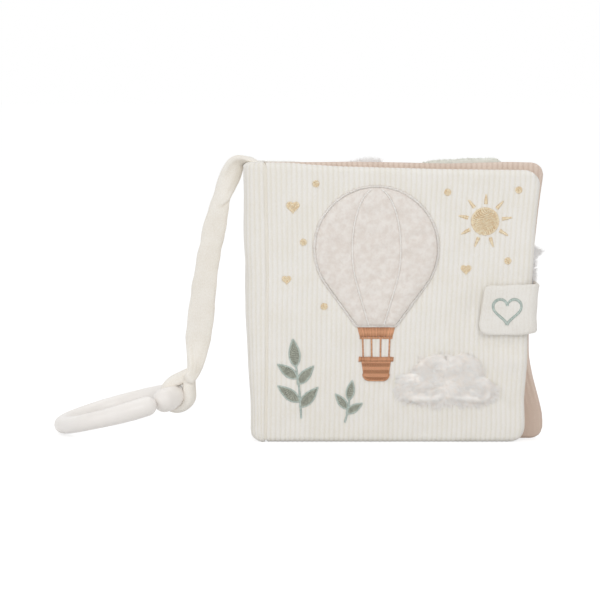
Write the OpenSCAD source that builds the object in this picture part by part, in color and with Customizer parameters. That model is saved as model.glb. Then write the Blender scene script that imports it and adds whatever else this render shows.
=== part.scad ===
// Cloth stroller book: two padded covers and three padded leaves sewn to a padded spine.
// A closing tab wraps round the fore edge, and a cloth strap carries an open clip ring.
// The book stands on its foot. The front cover faces -Y, and the fore edge is at +X.

/* [Book] */
// Width of a cover at its foot, from the hinge line to the fore edge
cover_w = 125; // [110:1:145]
// Height of the covers beside the spine
cover_h = 135; // [120:1:150]
// Thickness of a padded cover
cover_t = 8; // [6:0.5:11]
// How far the fore edge leans out between foot and head
fore_lean = 7.6; // [2:0.2:10]
// How much lower a cover's head is at the fore edge
head_drop = 3.2; // [1:0.2:5]
// Radius of the covers' outer corners
corner_r = 8.5; // [5:0.5:12]
// Rounding of the padded edges
edge_r = 2.8; // [1.5:0.1:2.9]
// Distance from one rib of the jersey to the next
rib_pitch = 2.376; // [1.8:0.1:4]
// Depth of the groove between two ribs
rib_depth = 0.45; // [0.2:0.05:0.7]

/* [Spine] */
// Width of the padded spine at its head
spine_w = 9.4; // [8:0.2:14]
// Rounding of the spine's long edges
spine_r = 6.5; // [4:0.5:8]
// Lean of the spine's back, in degrees
spine_lean = 1.2; // [0:0.1:2]

/* [Pages] */
// Thickness of a padded leaf
leaf_t = 3.8; // [3:0.1:5]
// Space between two leaves
leaf_gap = 1; // [0.9:0.1:2]
// How much lower the leaves' head is than the covers' beside the spine
page_drop = 0.4; // [0:0.1:3]
// How far the leaves stand past the cover at the head corner
page_proud = 1.6; // [0:0.1:3]
// How far the front leaf's foot corner splays out
page_splay = 8.2; // [0:0.2:10]
// How far the other leaves' foot corners splay out
back_splay = 2; // [0:0.2:4]
// Radius of the fur tuft that stands past the leaves' head
tuft_r = 9; // [5:0.5:12]
// Half of the width of the plush shape that stands past the leaves' head
plush_half = 19.5; // [12:0.5:24]

/* [Closing tab] */
// Height of the tab
tab_h = 23.6; // [16:0.2:32]
// Height of the tab's middle above the foot
tab_z = 64.2; // [50:0.2:80]
// Reach of the tab over the front cover, measured from the fore edge
tab_reach = 26; // [20:0.5:32]
// Reach of the tab over the back cover
tab_sewn = 18; // [12:0.5:26]
// Thickness of the padded tab
tab_t = 2.4; // [1.6:0.1:3]
// Corner radius of the tab's free end
tab_r = 4.5; // [2:0.25:7]
// Rounding of the tab where it turns the fore edge
tab_bend_r = 4.6; // [3.4:0.2:6]
// Thickness of each half of the touch fastener
fastener_t = 0.6; // [0.4:0.1:1]

/* [Front appliques] */
// Radius of the balloon's plush envelope
balloon_r = 29; // [22:0.5:31]
// Thickness of the plush at its middle
plush_t = 3.2; // [2.6:0.1:4]
// Width of the satin cord round the plush
edging_w = 1.3; // [0.8:0.1:2]
// Thickness of the satin cord
edging_t = 1.4; // [0.8:0.1:2]
// Thickness of filled embroidery
stitch_t = 0.6; // [0.3:0.1:1]
// Thickness of the long fur
fur_t = 4; // [2.5:0.25:4.25]
// Radius of the sun's disc
sun_r = 6.6; // [4:0.2:8]
// Number of rays on the sun
sun_rays = 9; // [5:1:13]
// Radius of a gold dot
dot_r = 1.7; // [1:0.1:2.5]
// Height of the taller sprig's stem
tall_stem = 26; // [16:1:32]
// Length of the taller sprig's end leaf
tall_leaf = 13.5; // [8:0.5:15]
// Height of the shorter sprig's stem
short_stem = 12; // [8:1:20]
// Length of the shorter sprig's end leaf
short_leaf = 9.5; // [6:0.5:12]

/* [Clip ring] */
// Outer diameter of the clip ring
ring_d = 69; // [64:1:78]
// Diameter of the ring's rod
rod_d = 8.2; // [7:0.2:10]
// Diameter of the bulb at the ring's upper end
bulb_d = 11.6; // [9:0.2:12.5]
// Angle of the ring's lean against the strap, in degrees
ring_tilt = 15; // [8:0.5:20]

/* [Hidden] */

// Clearance between soft pieces on different bodies
soft_gap = 0.3;
// Length that outlasts every cut
far = 400;
// Half of the leaves' stack, and the faces of the covers
page_half = 1.5 * leaf_t + leaf_gap;
cover_in = page_half + soft_gap;
cover_out = cover_in + cover_t;
// The upright hinge lines, and the edges of the cover and the spine beside them
hinge_x = -cover_w / 2 + 0.85;
seam_half = 0.25;
cover_left = hinge_x + seam_half;
spine_right = hinge_x - seam_half;
head_angle = atan(head_drop / cover_w);
lean_angle = atan(fore_lean / cover_h);
head_low = cover_h - head_drop;
page_h = cover_h - page_drop;

cream = [0.93, 0.91, 0.88];
tan_jersey = [0.80, 0.72, 0.66];
plush_white = [0.88, 0.86, 0.83];
stitch_brown = [0.70, 0.55, 0.45];
stitch_gold = [0.90, 0.83, 0.70];
stitch_sage = [0.67, 0.72, 0.67];

function arc(centre, r, from, to, steps) =
    [for (i = [0 : steps]) centre + r * [cos(from + (to - from) * i / steps), sin(from + (to - from) * i / steps)]];
function fore_x(z) = hinge_x + cover_w + fore_lean * z / cover_h;
function bell(z, middle, spread) = exp(-pow((z - middle) / spread, 2));

// Turns an outline drawn in X and Z into a slab between two Y values
module slab(y_from, y_to) {
    translate([0, y_to, 0])
        rotate([90, 0, 0])
            linear_extrude(height = y_to - y_from)
                children();
}

// Lays something on the front cover's ribs, standing out by its thickness
module on_front(thickness) {
    slab(-cover_out - thickness, -cover_out)
        children();
}

// Plan of a ribbed panel: ribs on the face y = 0, the other face plain at y = thick
module ribbed_plan(x_from, x_to, thick) {
    ribs = ceil((x_to - x_from) / rib_pitch);
    crest = [for (i = [0 : ribs - 1], step = [0, 0.25, 0.75])
        [x_from + (i + step) * rib_pitch, step == 0 ? rib_depth : 0]];
    end = x_from + ribs * rib_pitch;
    polygon(concat(crest, [[end, rib_depth], [end, thick], [x_from, thick]]));
}

// Rounded rectangle made of bars and discs
module rounded_plan(x_from, x_to, y_from, y_to, r) {
    translate([x_from + r, y_from])
        square([x_to - x_from - 2 * r, y_to - y_from]);
    translate([x_from, y_from + r])
        square([x_to - x_from, y_to - y_from - 2 * r]);
    for (x = [x_from + r, x_to - r], y = [y_from + r, y_to - r])
        translate([x, y])
            circle(r = r, $fn = 32);
}

// Section across a padded edge: rounded at its near end, open ended at the other
function edge_section(thick, r) = concat(
    arc([r, r], r, 180, 270, 3),
    [[far, 0], [far, thick]],
    arc([r, thick - r], r, 90, 180, 3));

module cover_outline() {
    low_r = corner_r * 0.8;
    polygon(concat(
        [[cover_left, 0]],
        arc([fore_x(0) - low_r, low_r], low_r, -90, lean_angle / 2, 6),
        arc([fore_x(head_low) - corner_r, head_low - corner_r], corner_r, 0, 90, 8),
        [[cover_left, cover_h]]));
}

// A padded cover with its ribbed face at y = 0 and its plain face at y = cover_t
module padded_cover() {
    intersection() {
        slab(0, cover_t)
            cover_outline();
        linear_extrude(height = far)
            ribbed_plan(cover_left, fore_x(cover_h) + rib_pitch, cover_t);
        translate([fore_x(0), 0, 0])
            rotate([0, lean_angle, 0])
                translate([0, 0, -far / 2])
                    linear_extrude(height = far)
                        mirror([1, 0, 0])
                            polygon(edge_section(cover_t, edge_r));
        translate([-far / 2, 0, 0])
            rotate([90, 0, 90])
                linear_extrude(height = far)
                    mirror([1, -1, 0])
                        polygon(edge_section(cover_t, edge_r));
        translate([cover_left, 0, cover_h])
            rotate([0, head_angle, 0])
                translate([-far / 2, 0, 0])
                    rotate([90, 0, 90])
                        linear_extrude(height = far)
                            mirror([0, 1, 0])
                                mirror([1, -1, 0])
                                    polygon(edge_section(cover_t, edge_r));
    }
}

module front_cover() {
    color(cream)
        translate([0, -cover_out, 0])
            padded_cover();
}

module back_cover() {
    color(cream)
        mirror([0, 1, 0])
            translate([0, -cover_out, 0])
                padded_cover();
}

// Point of the spine's plan, a length s along it from the front seam, and set in by inset
function spine_point(s, inset) =
    let (flat = spine_w - spine_r, quarter = PI * spine_r / 2, back = 2 * (cover_out - spine_r),
        left = spine_right - flat, half = flat + quarter + back / 2)
    s > half ? let (p = spine_point(2 * half - s, inset)) [p[0], -p[1]]
    : s < flat ? [spine_right - s, inset - cover_out]
    : s < flat + quarter
        ? let (a = 270 - (s - flat) / quarter * 90)
            [left + (spine_r - inset) * cos(a), spine_r - cover_out + (spine_r - inset) * sin(a)]
        : [left - spine_r + inset, spine_r - cover_out + s - flat - quarter];

// The spine's ribbed plan, carried past the seam so that the seam's plane can cut it
module spine_plan() {
    round_it = 2 * (spine_w - spine_r) + PI * spine_r + 2 * (cover_out - spine_r);
    ribs = round(round_it / rib_pitch);
    step = round_it / ribs;
    past = spine_right + spine_w;
    polygon(concat(
        [for (i = [0 : ribs - 1], part = [0, 0.25, 0.75])
            spine_point((i + part) * step, part == 0 ? rib_depth : 0)],
        [[past, cover_out - rib_depth], [past, rib_depth - cover_out]]));
}

module spine_panel() {
    foot_r = 5;
    head_r = 3;
    left = spine_right - spine_w;
    color(cream)
        intersection() {
            translate([0, 0, cover_h])
                rotate([0, -spine_lean, 0])
                    translate([0, 0, -far / 2])
                        linear_extrude(height = far)
                            spine_plan();
            slab(-far / 2, far / 2)
                polygon(concat(
                    [[spine_right, 0], [spine_right, cover_h]],
                    arc([left + head_r, cover_h - head_r], head_r, 90, 180, 4),
                    arc([left + cover_h * tan(spine_lean) + foot_r, foot_r], foot_r, 180, 270, 5)));
        }
}

// Fore edge of a leaf at height z
function page_x(z, splay) =
    fore_x(z) + page_proud * pow(z / page_h, 4) + splay * bell(z, 7, 20);

module page_outline(splay) {
    head_r = 6.5;
    foot_r = 5.5;
    steps = 24;
    polygon(concat(
        [[spine_right, 0]],
        arc([page_x(foot_r, splay) - foot_r, foot_r], foot_r, -90, 0, 5),
        [for (i = [1 : steps - 1])
            let (z = foot_r + (page_h - head_r - foot_r) * i / steps) [page_x(z, splay), z]],
        arc([page_x(page_h - head_r, splay) - head_r, page_h - head_r], head_r, 0, 90, 6),
        [[spine_right, page_h]]));
}

// The outer leaves are ribbed on the face that meets the cover
module ribbed_leaf(splay) {
    intersection() {
        translate([0, -page_half, 0])
            slab(0, leaf_t)
                page_outline(splay);
        translate([0, -page_half, 0])
            linear_extrude(height = far)
                ribbed_plan(spine_right, page_x(0, page_splay) + fore_lean + rib_pitch, leaf_t);
    }
}

module pages() {
    sewn_w = 4;
    color(tan_jersey)
        union() {
            ribbed_leaf(page_splay);
            slab(-leaf_t / 2, leaf_t / 2)
                page_outline(back_splay);
            mirror([0, 1, 0])
                ribbed_leaf(back_splay);
            translate([spine_right, rib_depth - page_half, 0])
                cube([sewn_w, 2 * (page_half - rib_depth), page_h]);
        }
}

// Felt-backed shapes sewn on the middle leaf's front face, seen past the front leaf
felt_t = leaf_gap - 0.1;
module on_middle_leaf() {
    slab(-leaf_t / 2 - felt_t, -leaf_t / 2)
        children();
}

module fur_tuft() {
    tuft_x = -13.7;
    rise = 3.4;
    tall_r = tuft_r + 2;
    color(plush_white)
        on_middle_leaf()
            translate([tuft_x, page_h + rise - tall_r])
                polygon([for (a = [0 : 12 : 348])
                    [tuft_r * cos(a), (tall_r + 0.6 * cos(5 * a)) * sin(a)]]);
}

module plush_leaf() {
    leaf_x = 34.6;
    rise = 3;
    tall_r = plush_half * 8 / 13;
    color(stitch_sage)
        on_middle_leaf()
            translate([leaf_x, page_h + rise - tall_r])
                polygon([for (a = [0 : 7.5 : 352.5])
                    [plush_half * sign(cos(a)) * pow(abs(cos(a)), 0.8),
                        tall_r * sign(sin(a)) * pow(abs(sin(a)), 0.5)]]);
}

// The tail's lower end is tucked in above the closing tab
module fur_tail() {
    low = tab_high + soft_gap;
    edge = fore_x(low);
    color(plush_white)
        on_middle_leaf()
            polygon([[edge - 14, low], [edge + 1.6, low], [edge + 3, low + 5.6],
                [edge + 2.6, low + 11.6], [edge + 6.4, low + 17.2], [edge + 2, low + 20.6],
                [edge - 12, low + 17.6]]);
}

// Places of the closing tab
tab_low = tab_z - tab_h / 2;
tab_high = tab_z + tab_h / 2;
tab_in = page_x(tab_high, page_splay) + soft_gap;
tab_out = tab_in + tab_t;
tab_left = fore_x(tab_z) - tab_reach;
tab_face = cover_out + 2 * fastener_t + soft_gap;

module tab_outline() {
    slant = 3;
    polygon(concat(
        [[tab_out + 1, tab_low], [tab_out + 1, tab_high]],
        arc([tab_left + slant + tab_r, tab_high - tab_r], tab_r, 90, 170, 5),
        arc([tab_left + tab_r, tab_low + tab_r], tab_r, 190, 270, 5)));
}

module closing_tab() {
    color(cream)
        intersection() {
            translate([0, 0, tab_low])
                linear_extrude(height = tab_h)
                    difference() {
                        rounded_plan(0, tab_out, -tab_face - tab_t, cover_out + tab_t, tab_bend_r);
                        rounded_plan(-2, tab_in, -tab_face, cover_out, tab_bend_r - tab_t);
                    }
            union() {
                slab(-far, 0)
                    tab_outline();
                translate([fore_x(tab_z) - tab_sewn, 0, tab_low])
                    cube([far, far, tab_h]);
            }
        }
}

// The two halves of the touch fastener lie between the tab and the front cover
module fastener_outline() {
    w = tab_reach - 11;
    h = tab_h - 7;
    translate([tab_left + 5.5, tab_z - h / 2])
        square([w, h]);
}

module loop_patch() {
    color(cream)
        on_front(fastener_t)
            fastener_outline();
}

module hook_patch() {
    color(cream)
        slab(-tab_face, -tab_face + fastener_t)
            fastener_outline();
}

function heart(size) = [for (a = [0 : 7.5 : 352.5])
    size / 32 * [16 * pow(sin(a), 3), 13 * cos(a) - 5 * cos(2 * a) - 2 * cos(3 * a) - cos(4 * a)]];

module tab_emblem() {
    emblem_w = 15.5;
    line_w = 2.6;
    color(stitch_sage)
        slab(-tab_face - tab_t - stitch_t, -tab_face - tab_t)
            translate([(tab_left + tab_in) / 2 + 0.5, tab_z + 0.5])
                difference() {
                    polygon(heart(emblem_w));
                    polygon(heart(emblem_w - line_w));
                }
}

// Places of the balloon on the front cover
balloon_x = -8;
balloon_z = cover_h - 12 - balloon_r;
mouth_z = balloon_z - 37 / 29 * balloon_r;
mouth_half = 9 / 29 * balloon_r;

function envelope(grow) = concat(
    arc([balloon_x, balloon_z], balloon_r + grow, -35, 215, 50),
    [[balloon_x - mouth_half - grow, mouth_z - grow / 2], [balloon_x + mouth_half + grow, mouth_z - grow / 2]]);

// The plush is padded: its rim rises in steps to the full thickness
module balloon_panel() {
    steps = 4;
    rim = 3.2;
    color(plush_white)
        union()
            for (i = [1 : steps])
                on_front(plush_t * sin(90 * i / steps))
                    polygon(envelope(-rim * (1 - cos(90 * (i - 1) / steps))));
}

module balloon_edging() {
    color(plush_white)
        on_front(edging_t)
            difference() {
                polygon(envelope(edging_w));
                polygon(envelope(0));
            }
}

skirt_top = mouth_z - edging_w / 2;
skirt_low = skirt_top - 5.5;
skirt_half = mouth_half - 1.5;

module balloon_skirt() {
    color(stitch_brown)
        on_front(stitch_t)
            translate([balloon_x, 0])
                polygon([[-mouth_half, skirt_top], [mouth_half, skirt_top],
                    [skirt_half, skirt_low], [-skirt_half, skirt_low]]);
}

basket_top = skirt_low - 9;
basket_h = 11.5;
basket_half = 7.4;

module balloon_ropes() {
    rope_w = 0.9;
    color(stitch_brown)
        on_front(stitch_t)
            for (side = [-1, -0.34, 0.34, 1])
                translate([balloon_x, 0])
                    polygon([[side * (skirt_half - 1) - rope_w / 2, skirt_low],
                        [side * (skirt_half - 1) + rope_w / 2, skirt_low],
                        [side * (basket_half - 1.2) + rope_w / 2, basket_top],
                        [side * (basket_half - 1.2) - rope_w / 2, basket_top]]);
}

module basket() {
    r = 3;
    rim_h = 2.6;
    rim_out = 0.8;
    low = basket_top - basket_h;
    color(stitch_brown)
        union() {
            on_front(stitch_t)
                translate([balloon_x, 0])
                    polygon(concat(
                        [[-basket_half, basket_top], [basket_half, basket_top]],
                        arc([basket_half - 1.2 - r, low + r], r, 0, -90, 5),
                        arc([r + 1.2 - basket_half, low + r], r, -90, -180, 5)));
            on_front(stitch_t * 1.8)
                translate([balloon_x - basket_half - rim_out, basket_top - rim_h])
                    square([2 * (basket_half + rim_out), rim_h]);
        }
}

// Places and radii of the cloud's lobes
cloud_x = 25;
cloud_z = 30;
cloud_lobes = [[-15, -3, 8], [-5, 3.5, 10], [8, 3, 11], [17, -4, 7.5]];

module fur_cloud() {
    color(plush_white)
        on_front(fur_t)
            translate([cloud_x, cloud_z])
                union() {
                    for (lobe = cloud_lobes)
                        translate([lobe[0], lobe[1]])
                            circle(r = lobe[2], $fn = 64);
                    translate([-15, -11])
                        square([32, 12]);
                }
}

sun_x = 44;
sun_z = cover_h - 28;
module sun() {
    ray_from = sun_r + 1.8;
    ray_to = sun_r * 2 - 0.4;
    color(stitch_gold)
        on_front(stitch_t)
            translate([sun_x, sun_z])
                union() {
                    circle(r = sun_r, $fn = 48);
                    for (i = [0 : sun_rays - 1])
                        rotate(i * 360 / sun_rays + 8)
                            polygon([[ray_from, -0.9], [ray_to, -0.35], [ray_to, 0.35], [ray_from, 0.9]]);
                }
}

// The small gold motifs: X, depth below the covers' head, and each heart's width
heart_places = [[-48, 21, 6.4], [-51, 56, 4.6], [35, 51, 5.2]];
dot_places = [[-37, 10], [-43, 38], [26, 14], [55, 47], [-33, 69], [60, 13]];

module gold_hearts() {
    color(stitch_gold)
        on_front(stitch_t)
            for (place = heart_places)
                translate([place[0], cover_h - place[1]])
                    polygon(heart(place[2]));
}

module gold_dots() {
    color(stitch_gold)
        on_front(stitch_t)
            for (place = dot_places)
                translate([place[0], cover_h - place[1]])
                    circle(r = dot_r, $fn = 24);
}

// A leaf of the given length, its stalk at the origin and its tip up the page
module leaf_shape(size) {
    steps = 8;
    half = size * 0.19;
    polygon(concat(
        [for (i = [0 : steps]) [half * sin(180 * pow(i / steps, 0.8)), size * i / steps]],
        [for (i = [steps - 1 : -1 : 1]) [-half * sin(180 * pow(i / steps, 0.8)), size * i / steps]]));
}

// A stem with pairs of leaves and one at its tip
module sprig(stem_h, leaf_size, pairs) {
    stem_w = 0.9;
    translate([-stem_w / 2, 0])
        square([stem_w, stem_h]);
    translate([0, stem_h - 1])
        leaf_shape(leaf_size);
    for (i = [0 : pairs - 1], side = [-1, 1])
        translate([0, stem_h * (i + 0.6 + side * 0.12) / (pairs + 0.3)])
            rotate(side * 48)
                leaf_shape(leaf_size * (0.95 - 0.1 * i));
}

module sprig_tall() {
    color(stitch_sage)
        on_front(stitch_t)
            translate([-44, 12])
                rotate(6)
                    sprig(tall_stem, tall_leaf, 2);
}

module sprig_short() {
    color(stitch_sage)
        on_front(stitch_t)
            translate([-23, 10])
                rotate(-10)
                    sprig(short_stem, short_leaf, 1);
}

// Route of the strap's middle line, from the spine's head to the knot above the ring
strap_route = [[-65, 0, 133.2], [-67, 0, 135.8], [-69, 0, 136.8], [-72.3, 0.2, 136.7],
    [-75.2, 0.5, 134.9], [-77.4, 0.9, 131.6], [-78.7, 1.4, 127.6], [-80, 1.9, 123.4],
    [-82.1, 2.6, 118.2], [-84.8, 3.8, 110.5], [-87, 5.5, 100.1], [-88.7, 7.2, 91.6], [-90.6, 9.4, 80.2],
    [-92.2, 12, 68.2], [-93.6, 14.5, 56.2], [-94.8, 17.1, 44.7], [-95.8, 18.8, 37.9], [-97.8, 20, 32.1],
    [-99, 20.3, 29.7]];
strap_widths = [8, 8.4, 9, 9.6, 10.2, 10.6, 10.8, 10.8, 10.8, 11, 11, 11.2, 11.6, 12.4, 13.2, 12, 10, 7, 6];
strap_t = 4.2;
strap_sides = 12;

function unit(v) = v / norm(v);
function route_dir(i) =
    unit(strap_route[min(i + 1, len(strap_route) - 1)] - strap_route[max(i - 1, 0)]);
// The strap leaves the spine lying flat, and its face turns to the front over the first bend
function strap_across(i) =
    let (turn = 90 * min(1, max(0, (i - 1) / 5)),
        dir = route_dir(i),
        deep = unit([0, 1, 0] - dir * dir[1]),
        side = cross(dir, deep))
    deep * cos(turn) + side * sin(turn);

module strap() {
    rings = len(strap_route);
    points = [for (i = [0 : rings - 1], k = [0 : strap_sides - 1])
        let (across = strap_across(i), up = cross(route_dir(i), across), a = 360 * k / strap_sides)
        strap_route[i] + across * cos(a) * strap_widths[i] / 2 + up * sin(a) * strap_t / 2];
    sides = [for (i = [0 : rings - 2], k = [0 : strap_sides - 1])
        let (next = (k + 1) % strap_sides)
        [i * strap_sides + k, (i + 1) * strap_sides + k, (i + 1) * strap_sides + next, i * strap_sides + next]];
    ends = [[for (k = [0 : strap_sides - 1]) k],
        [for (k = [strap_sides - 1 : -1 : 0]) (rings - 1) * strap_sides + k]];
    color(cream)
        polyhedron(points = points, faces = concat(sides, ends), convexity = 6);
}

// Places of the clip ring, whose far side rests on the ground
ring_r = (ring_d - rod_d) / 2;
ring_x = -133;
ring_y = 20.5;
ring_z = ring_r * sin(ring_tilt) + rod_d / 2;
bulb_at = -40.6;
gap_w = 1;
end_at = bulb_at - 2 * asin(((bulb_d + rod_d) / 2 + gap_w) / 2 / ring_r);
rod_right_x = ring_x + ring_r * cos(ring_tilt);
rod_right_z = ring_z + ring_r * sin(ring_tilt);

module clip_ring() {
    neck_d = (rod_d + bulb_d) / 2;
    color(cream)
        translate([ring_x, ring_y, ring_z])
            rotate([0, -ring_tilt, 0])
                union() {
                    rotate([0, 0, bulb_at])
                        rotate_extrude(angle = 360 + end_at - bulb_at, $fn = 96)
                            translate([ring_r, 0])
                                circle(d = rod_d, $fn = 32);
                    rotate([0, 0, end_at])
                        translate([ring_r, 0, 0])
                            sphere(d = rod_d * 0.985, $fn = 64);
                    rotate([0, 0, bulb_at])
                        translate([ring_r, 0, 0])
                            sphere(d = bulb_d, $fn = 64);
                    rotate([0, 0, bulb_at + 8])
                        translate([ring_r, 0, 0])
                            sphere(d = neck_d, $fn = 64);
                }
}

// The strap's end is sewn into a loop round the ring's rod
module strap_loop() {
    loop_t = 3;
    loop_len = 11;
    bore_r = rod_d / 2 + 0.7;
    outer_r = bore_r + loop_t;
    apex = [strap_route[17][0], strap_route[17][2]];
    centre = [rod_right_x, rod_right_z];
    lift = apex - centre;
    aim = atan2(lift[1], lift[0]);
    spread = acos(outer_r / norm(lift));
    color(cream)
        slab(ring_y - loop_len / 2, ring_y + loop_len / 2)
            difference() {
                union() {
                    translate(centre)
                        circle(r = outer_r, $fn = 64);
                    polygon([apex + 2 * [cos(aim + 90), sin(aim + 90)],
                        centre + outer_r * [cos(aim + spread), sin(aim + spread)],
                        centre + outer_r * [cos(aim - spread), sin(aim - spread)],
                        apex - 2 * [cos(aim + 90), sin(aim + 90)]]);
                }
                translate(centre)
                    circle(r = bore_r, $fn = 64);
            }
}

spine_panel();
pages();
fur_tuft();
plush_leaf();
fur_tail();
strap();
strap_loop();
clip_ring();
front_cover();
loop_patch();
balloon_panel();
balloon_edging();
balloon_skirt();
balloon_ropes();
basket();
fur_cloud();
sun();
gold_hearts();
gold_dots();
sprig_tall();
sprig_short();
back_cover();
closing_tab();
hook_patch();
tab_emblem();
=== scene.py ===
# %% [markdown]
# # A cloth stroller book, dressed over its CAD frame
#
# The frame gives every solid of the book: two padded covers, a spine, three leaves, a closing
# tab, the front's appliques, and a strap with an open clip ring. Each cell below makes one piece
# of cloth, fur, thread or plastic in the place of its solid. Lengths are written in millimetres
# and turned to metres only where a mesh is made.

# %% The frame and its size
import math

import bpy
import numpy as np
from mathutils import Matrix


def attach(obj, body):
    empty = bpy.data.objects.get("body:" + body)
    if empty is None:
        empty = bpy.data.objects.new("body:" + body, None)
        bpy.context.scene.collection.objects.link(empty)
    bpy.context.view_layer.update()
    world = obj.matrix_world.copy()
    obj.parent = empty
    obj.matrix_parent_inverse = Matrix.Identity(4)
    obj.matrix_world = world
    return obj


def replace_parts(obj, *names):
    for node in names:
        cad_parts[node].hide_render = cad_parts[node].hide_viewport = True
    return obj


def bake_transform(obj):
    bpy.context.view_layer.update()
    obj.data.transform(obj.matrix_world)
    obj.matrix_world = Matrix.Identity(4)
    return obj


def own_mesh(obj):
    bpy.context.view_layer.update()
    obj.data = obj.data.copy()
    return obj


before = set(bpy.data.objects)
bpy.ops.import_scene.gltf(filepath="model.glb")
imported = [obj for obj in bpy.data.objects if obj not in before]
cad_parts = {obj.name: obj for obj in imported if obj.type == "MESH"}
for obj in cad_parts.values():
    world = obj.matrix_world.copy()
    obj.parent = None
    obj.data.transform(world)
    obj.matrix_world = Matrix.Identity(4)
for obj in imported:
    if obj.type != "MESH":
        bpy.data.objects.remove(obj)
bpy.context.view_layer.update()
MM = 0.001
rng = np.random.default_rng(41)

# %% [markdown]
# ## The camera
#
# The book is seen straight from the front and a little from above, from far off. A long lens
# keeps the foot and the head nearly parallel, as a studio photographer would choose for a catalogue.

# %% Camera
VIEW_UP = math.radians(5.5)
VIEW_FAR = 1.2
LOOK_AT = np.array([-44.6, -15.0, 69.2]) * MM


def aim_camera():
    """The camera stands VIEW_FAR in front of LOOK_AT, raised by VIEW_UP, and looks at it."""
    data = bpy.data.cameras.new("studio_camera")
    data.lens = 150
    data.sensor_width = 36
    data.clip_end = 20
    camera = bpy.data.objects.new("studio_camera", data)
    bpy.context.collection.objects.link(camera)
    away = np.array([0, -math.cos(VIEW_UP), math.sin(VIEW_UP)]) * VIEW_FAR
    camera.location = (LOOK_AT + away).tolist()
    camera.rotation_euler = (math.pi / 2 - VIEW_UP, 0, 0)
    bpy.context.scene.camera = camera
    return camera


camera = aim_camera()
print("camera at", [round(v, 4) for v in camera.location])

# %% [markdown]
# ## Colours and shared textures
#
# Cloth colour could be one flat value, but knitted cotton is never flat: the grooves between
# ribs are painted warmer and darker as shade, and each loop of yarn is painted lighter or darker
# with its bump, as painted light and shade. A shader node group builds that once. It reads Object
# coordinates and the piece's own attributes, so that it stays put on the cloth from every side.


# %% Colour helper and node helpers
def srgb(r, g, b):
    """A colour written as 0-255 screen values, turned to the linear values that nodes use."""
    c = np.array([r, g, b]) / 255
    return (*np.where(c <= 0.04045, c / 12.92, ((c + 0.055) / 1.055) ** 2.4).tolist(), 1.0)


def new_group(name, inputs, outputs):
    """A shader node group with its named inputs (kind, name, value) and outputs (kind, name)."""
    group = bpy.data.node_groups.new(name, "ShaderNodeTree")
    for kind, label, value in inputs:
        socket = group.interface.new_socket(label, in_out="INPUT", socket_type=kind)
        socket.default_value = value
    for kind, label in outputs:
        group.interface.new_socket(label, in_out="OUTPUT", socket_type=kind)
    return group, group.nodes.new("NodeGroupInput"), group.nodes.new("NodeGroupOutput")


def noise(tree, vector, scale, detail=2.0):
    """A Noise Texture's Fac, between about 0.3 and 0.7."""
    node = tree.nodes.new("ShaderNodeTexNoise")
    node.inputs["Scale"].default_value = scale
    node.inputs["Detail"].default_value = detail
    tree.links.new(vector, node.inputs["Vector"])
    return node.outputs["Fac"]


def spread(tree, value, low, high, to_low=0.0, to_high=1.0):
    """A Map Range node: low..high becomes to_low..to_high, clamped."""
    node = tree.nodes.new("ShaderNodeMapRange")
    for socket, number in zip(node.inputs[1:5], (low, high, to_low, to_high)):
        socket.default_value = number
    tree.links.new(value, node.inputs[0])
    return node.outputs[0]


def mix(tree, factor, a, b):
    """A Mix node for colours; a and b are sockets."""
    node = tree.nodes.new("ShaderNodeMix")
    node.data_type = "RGBA"
    tree.links.new(factor, node.inputs[0])
    tree.links.new(a, node.inputs[6])
    tree.links.new(b, node.inputs[7])
    return node.outputs[2]


def maths(tree, kind, a, b):
    """A Math node of that kind; a is a socket, b a socket or a number."""
    node = tree.nodes.new("ShaderNodeMath")
    node.operation = kind
    tree.links.new(a, node.inputs[0])
    if isinstance(b, (int, float)):
        node.inputs[1].default_value = b
    else:
        tree.links.new(b, node.inputs[1])
    return node.outputs[0]


def attribute(tree, name):
    """The value that the piece's mesh carries under that name."""
    node = tree.nodes.new("ShaderNodeAttribute")
    node.attribute_name = name
    return node.outputs["Fac"]


def stretched(tree, x, y, z):
    """Object coordinates stretched by a Mapping node."""
    where = tree.nodes.new("ShaderNodeTexCoord")
    node = tree.nodes.new("ShaderNodeMapping")
    node.inputs["Scale"].default_value = (x, y, z)
    tree.links.new(where.outputs["Object"], node.inputs["Vector"])
    return node.outputs["Vector"]


# %% The knitted cloth group
def knit_group():
    """Colour: from the groove colour, which is painted shade, to Face by the rib attribute, with soft
    mottling and flecks that follow the loops' height as painted light and shade. Height: rows of loops.
    """
    colours = "NodeSocketColor"
    group, given, out = new_group(
        "knit", [(colours, "Face", (1, 1, 1, 1)), (colours, "Groove shade", (0.8, 0.8, 0.8, 1))],
        [(colours, "Colour"), ("NodeSocketFloat", "Height")])
    where = stretched(group, 1, 1, 1)
    loops = stretched(group, 1, 1, 0.45)
    fine = noise(group, loops, 2600, 1.0)
    broad = noise(group, where, 90, 3.0)
    rib = attribute(group, "rib")
    lifted = maths(group, "ADD", rib, spread(group, broad, 0.35, 0.65, -0.22, 0.12))
    flecked = maths(group, "ADD", lifted, spread(group, fine, 0.3, 0.7, -0.34, 0.2))
    shade = spread(group, flecked, 0.0, 1.0)
    colour = mix(group, shade, given.outputs["Groove shade"], given.outputs["Face"])
    group.links.new(colour, out.inputs["Colour"])
    group.links.new(fine, out.inputs["Height"])
    return group


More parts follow.
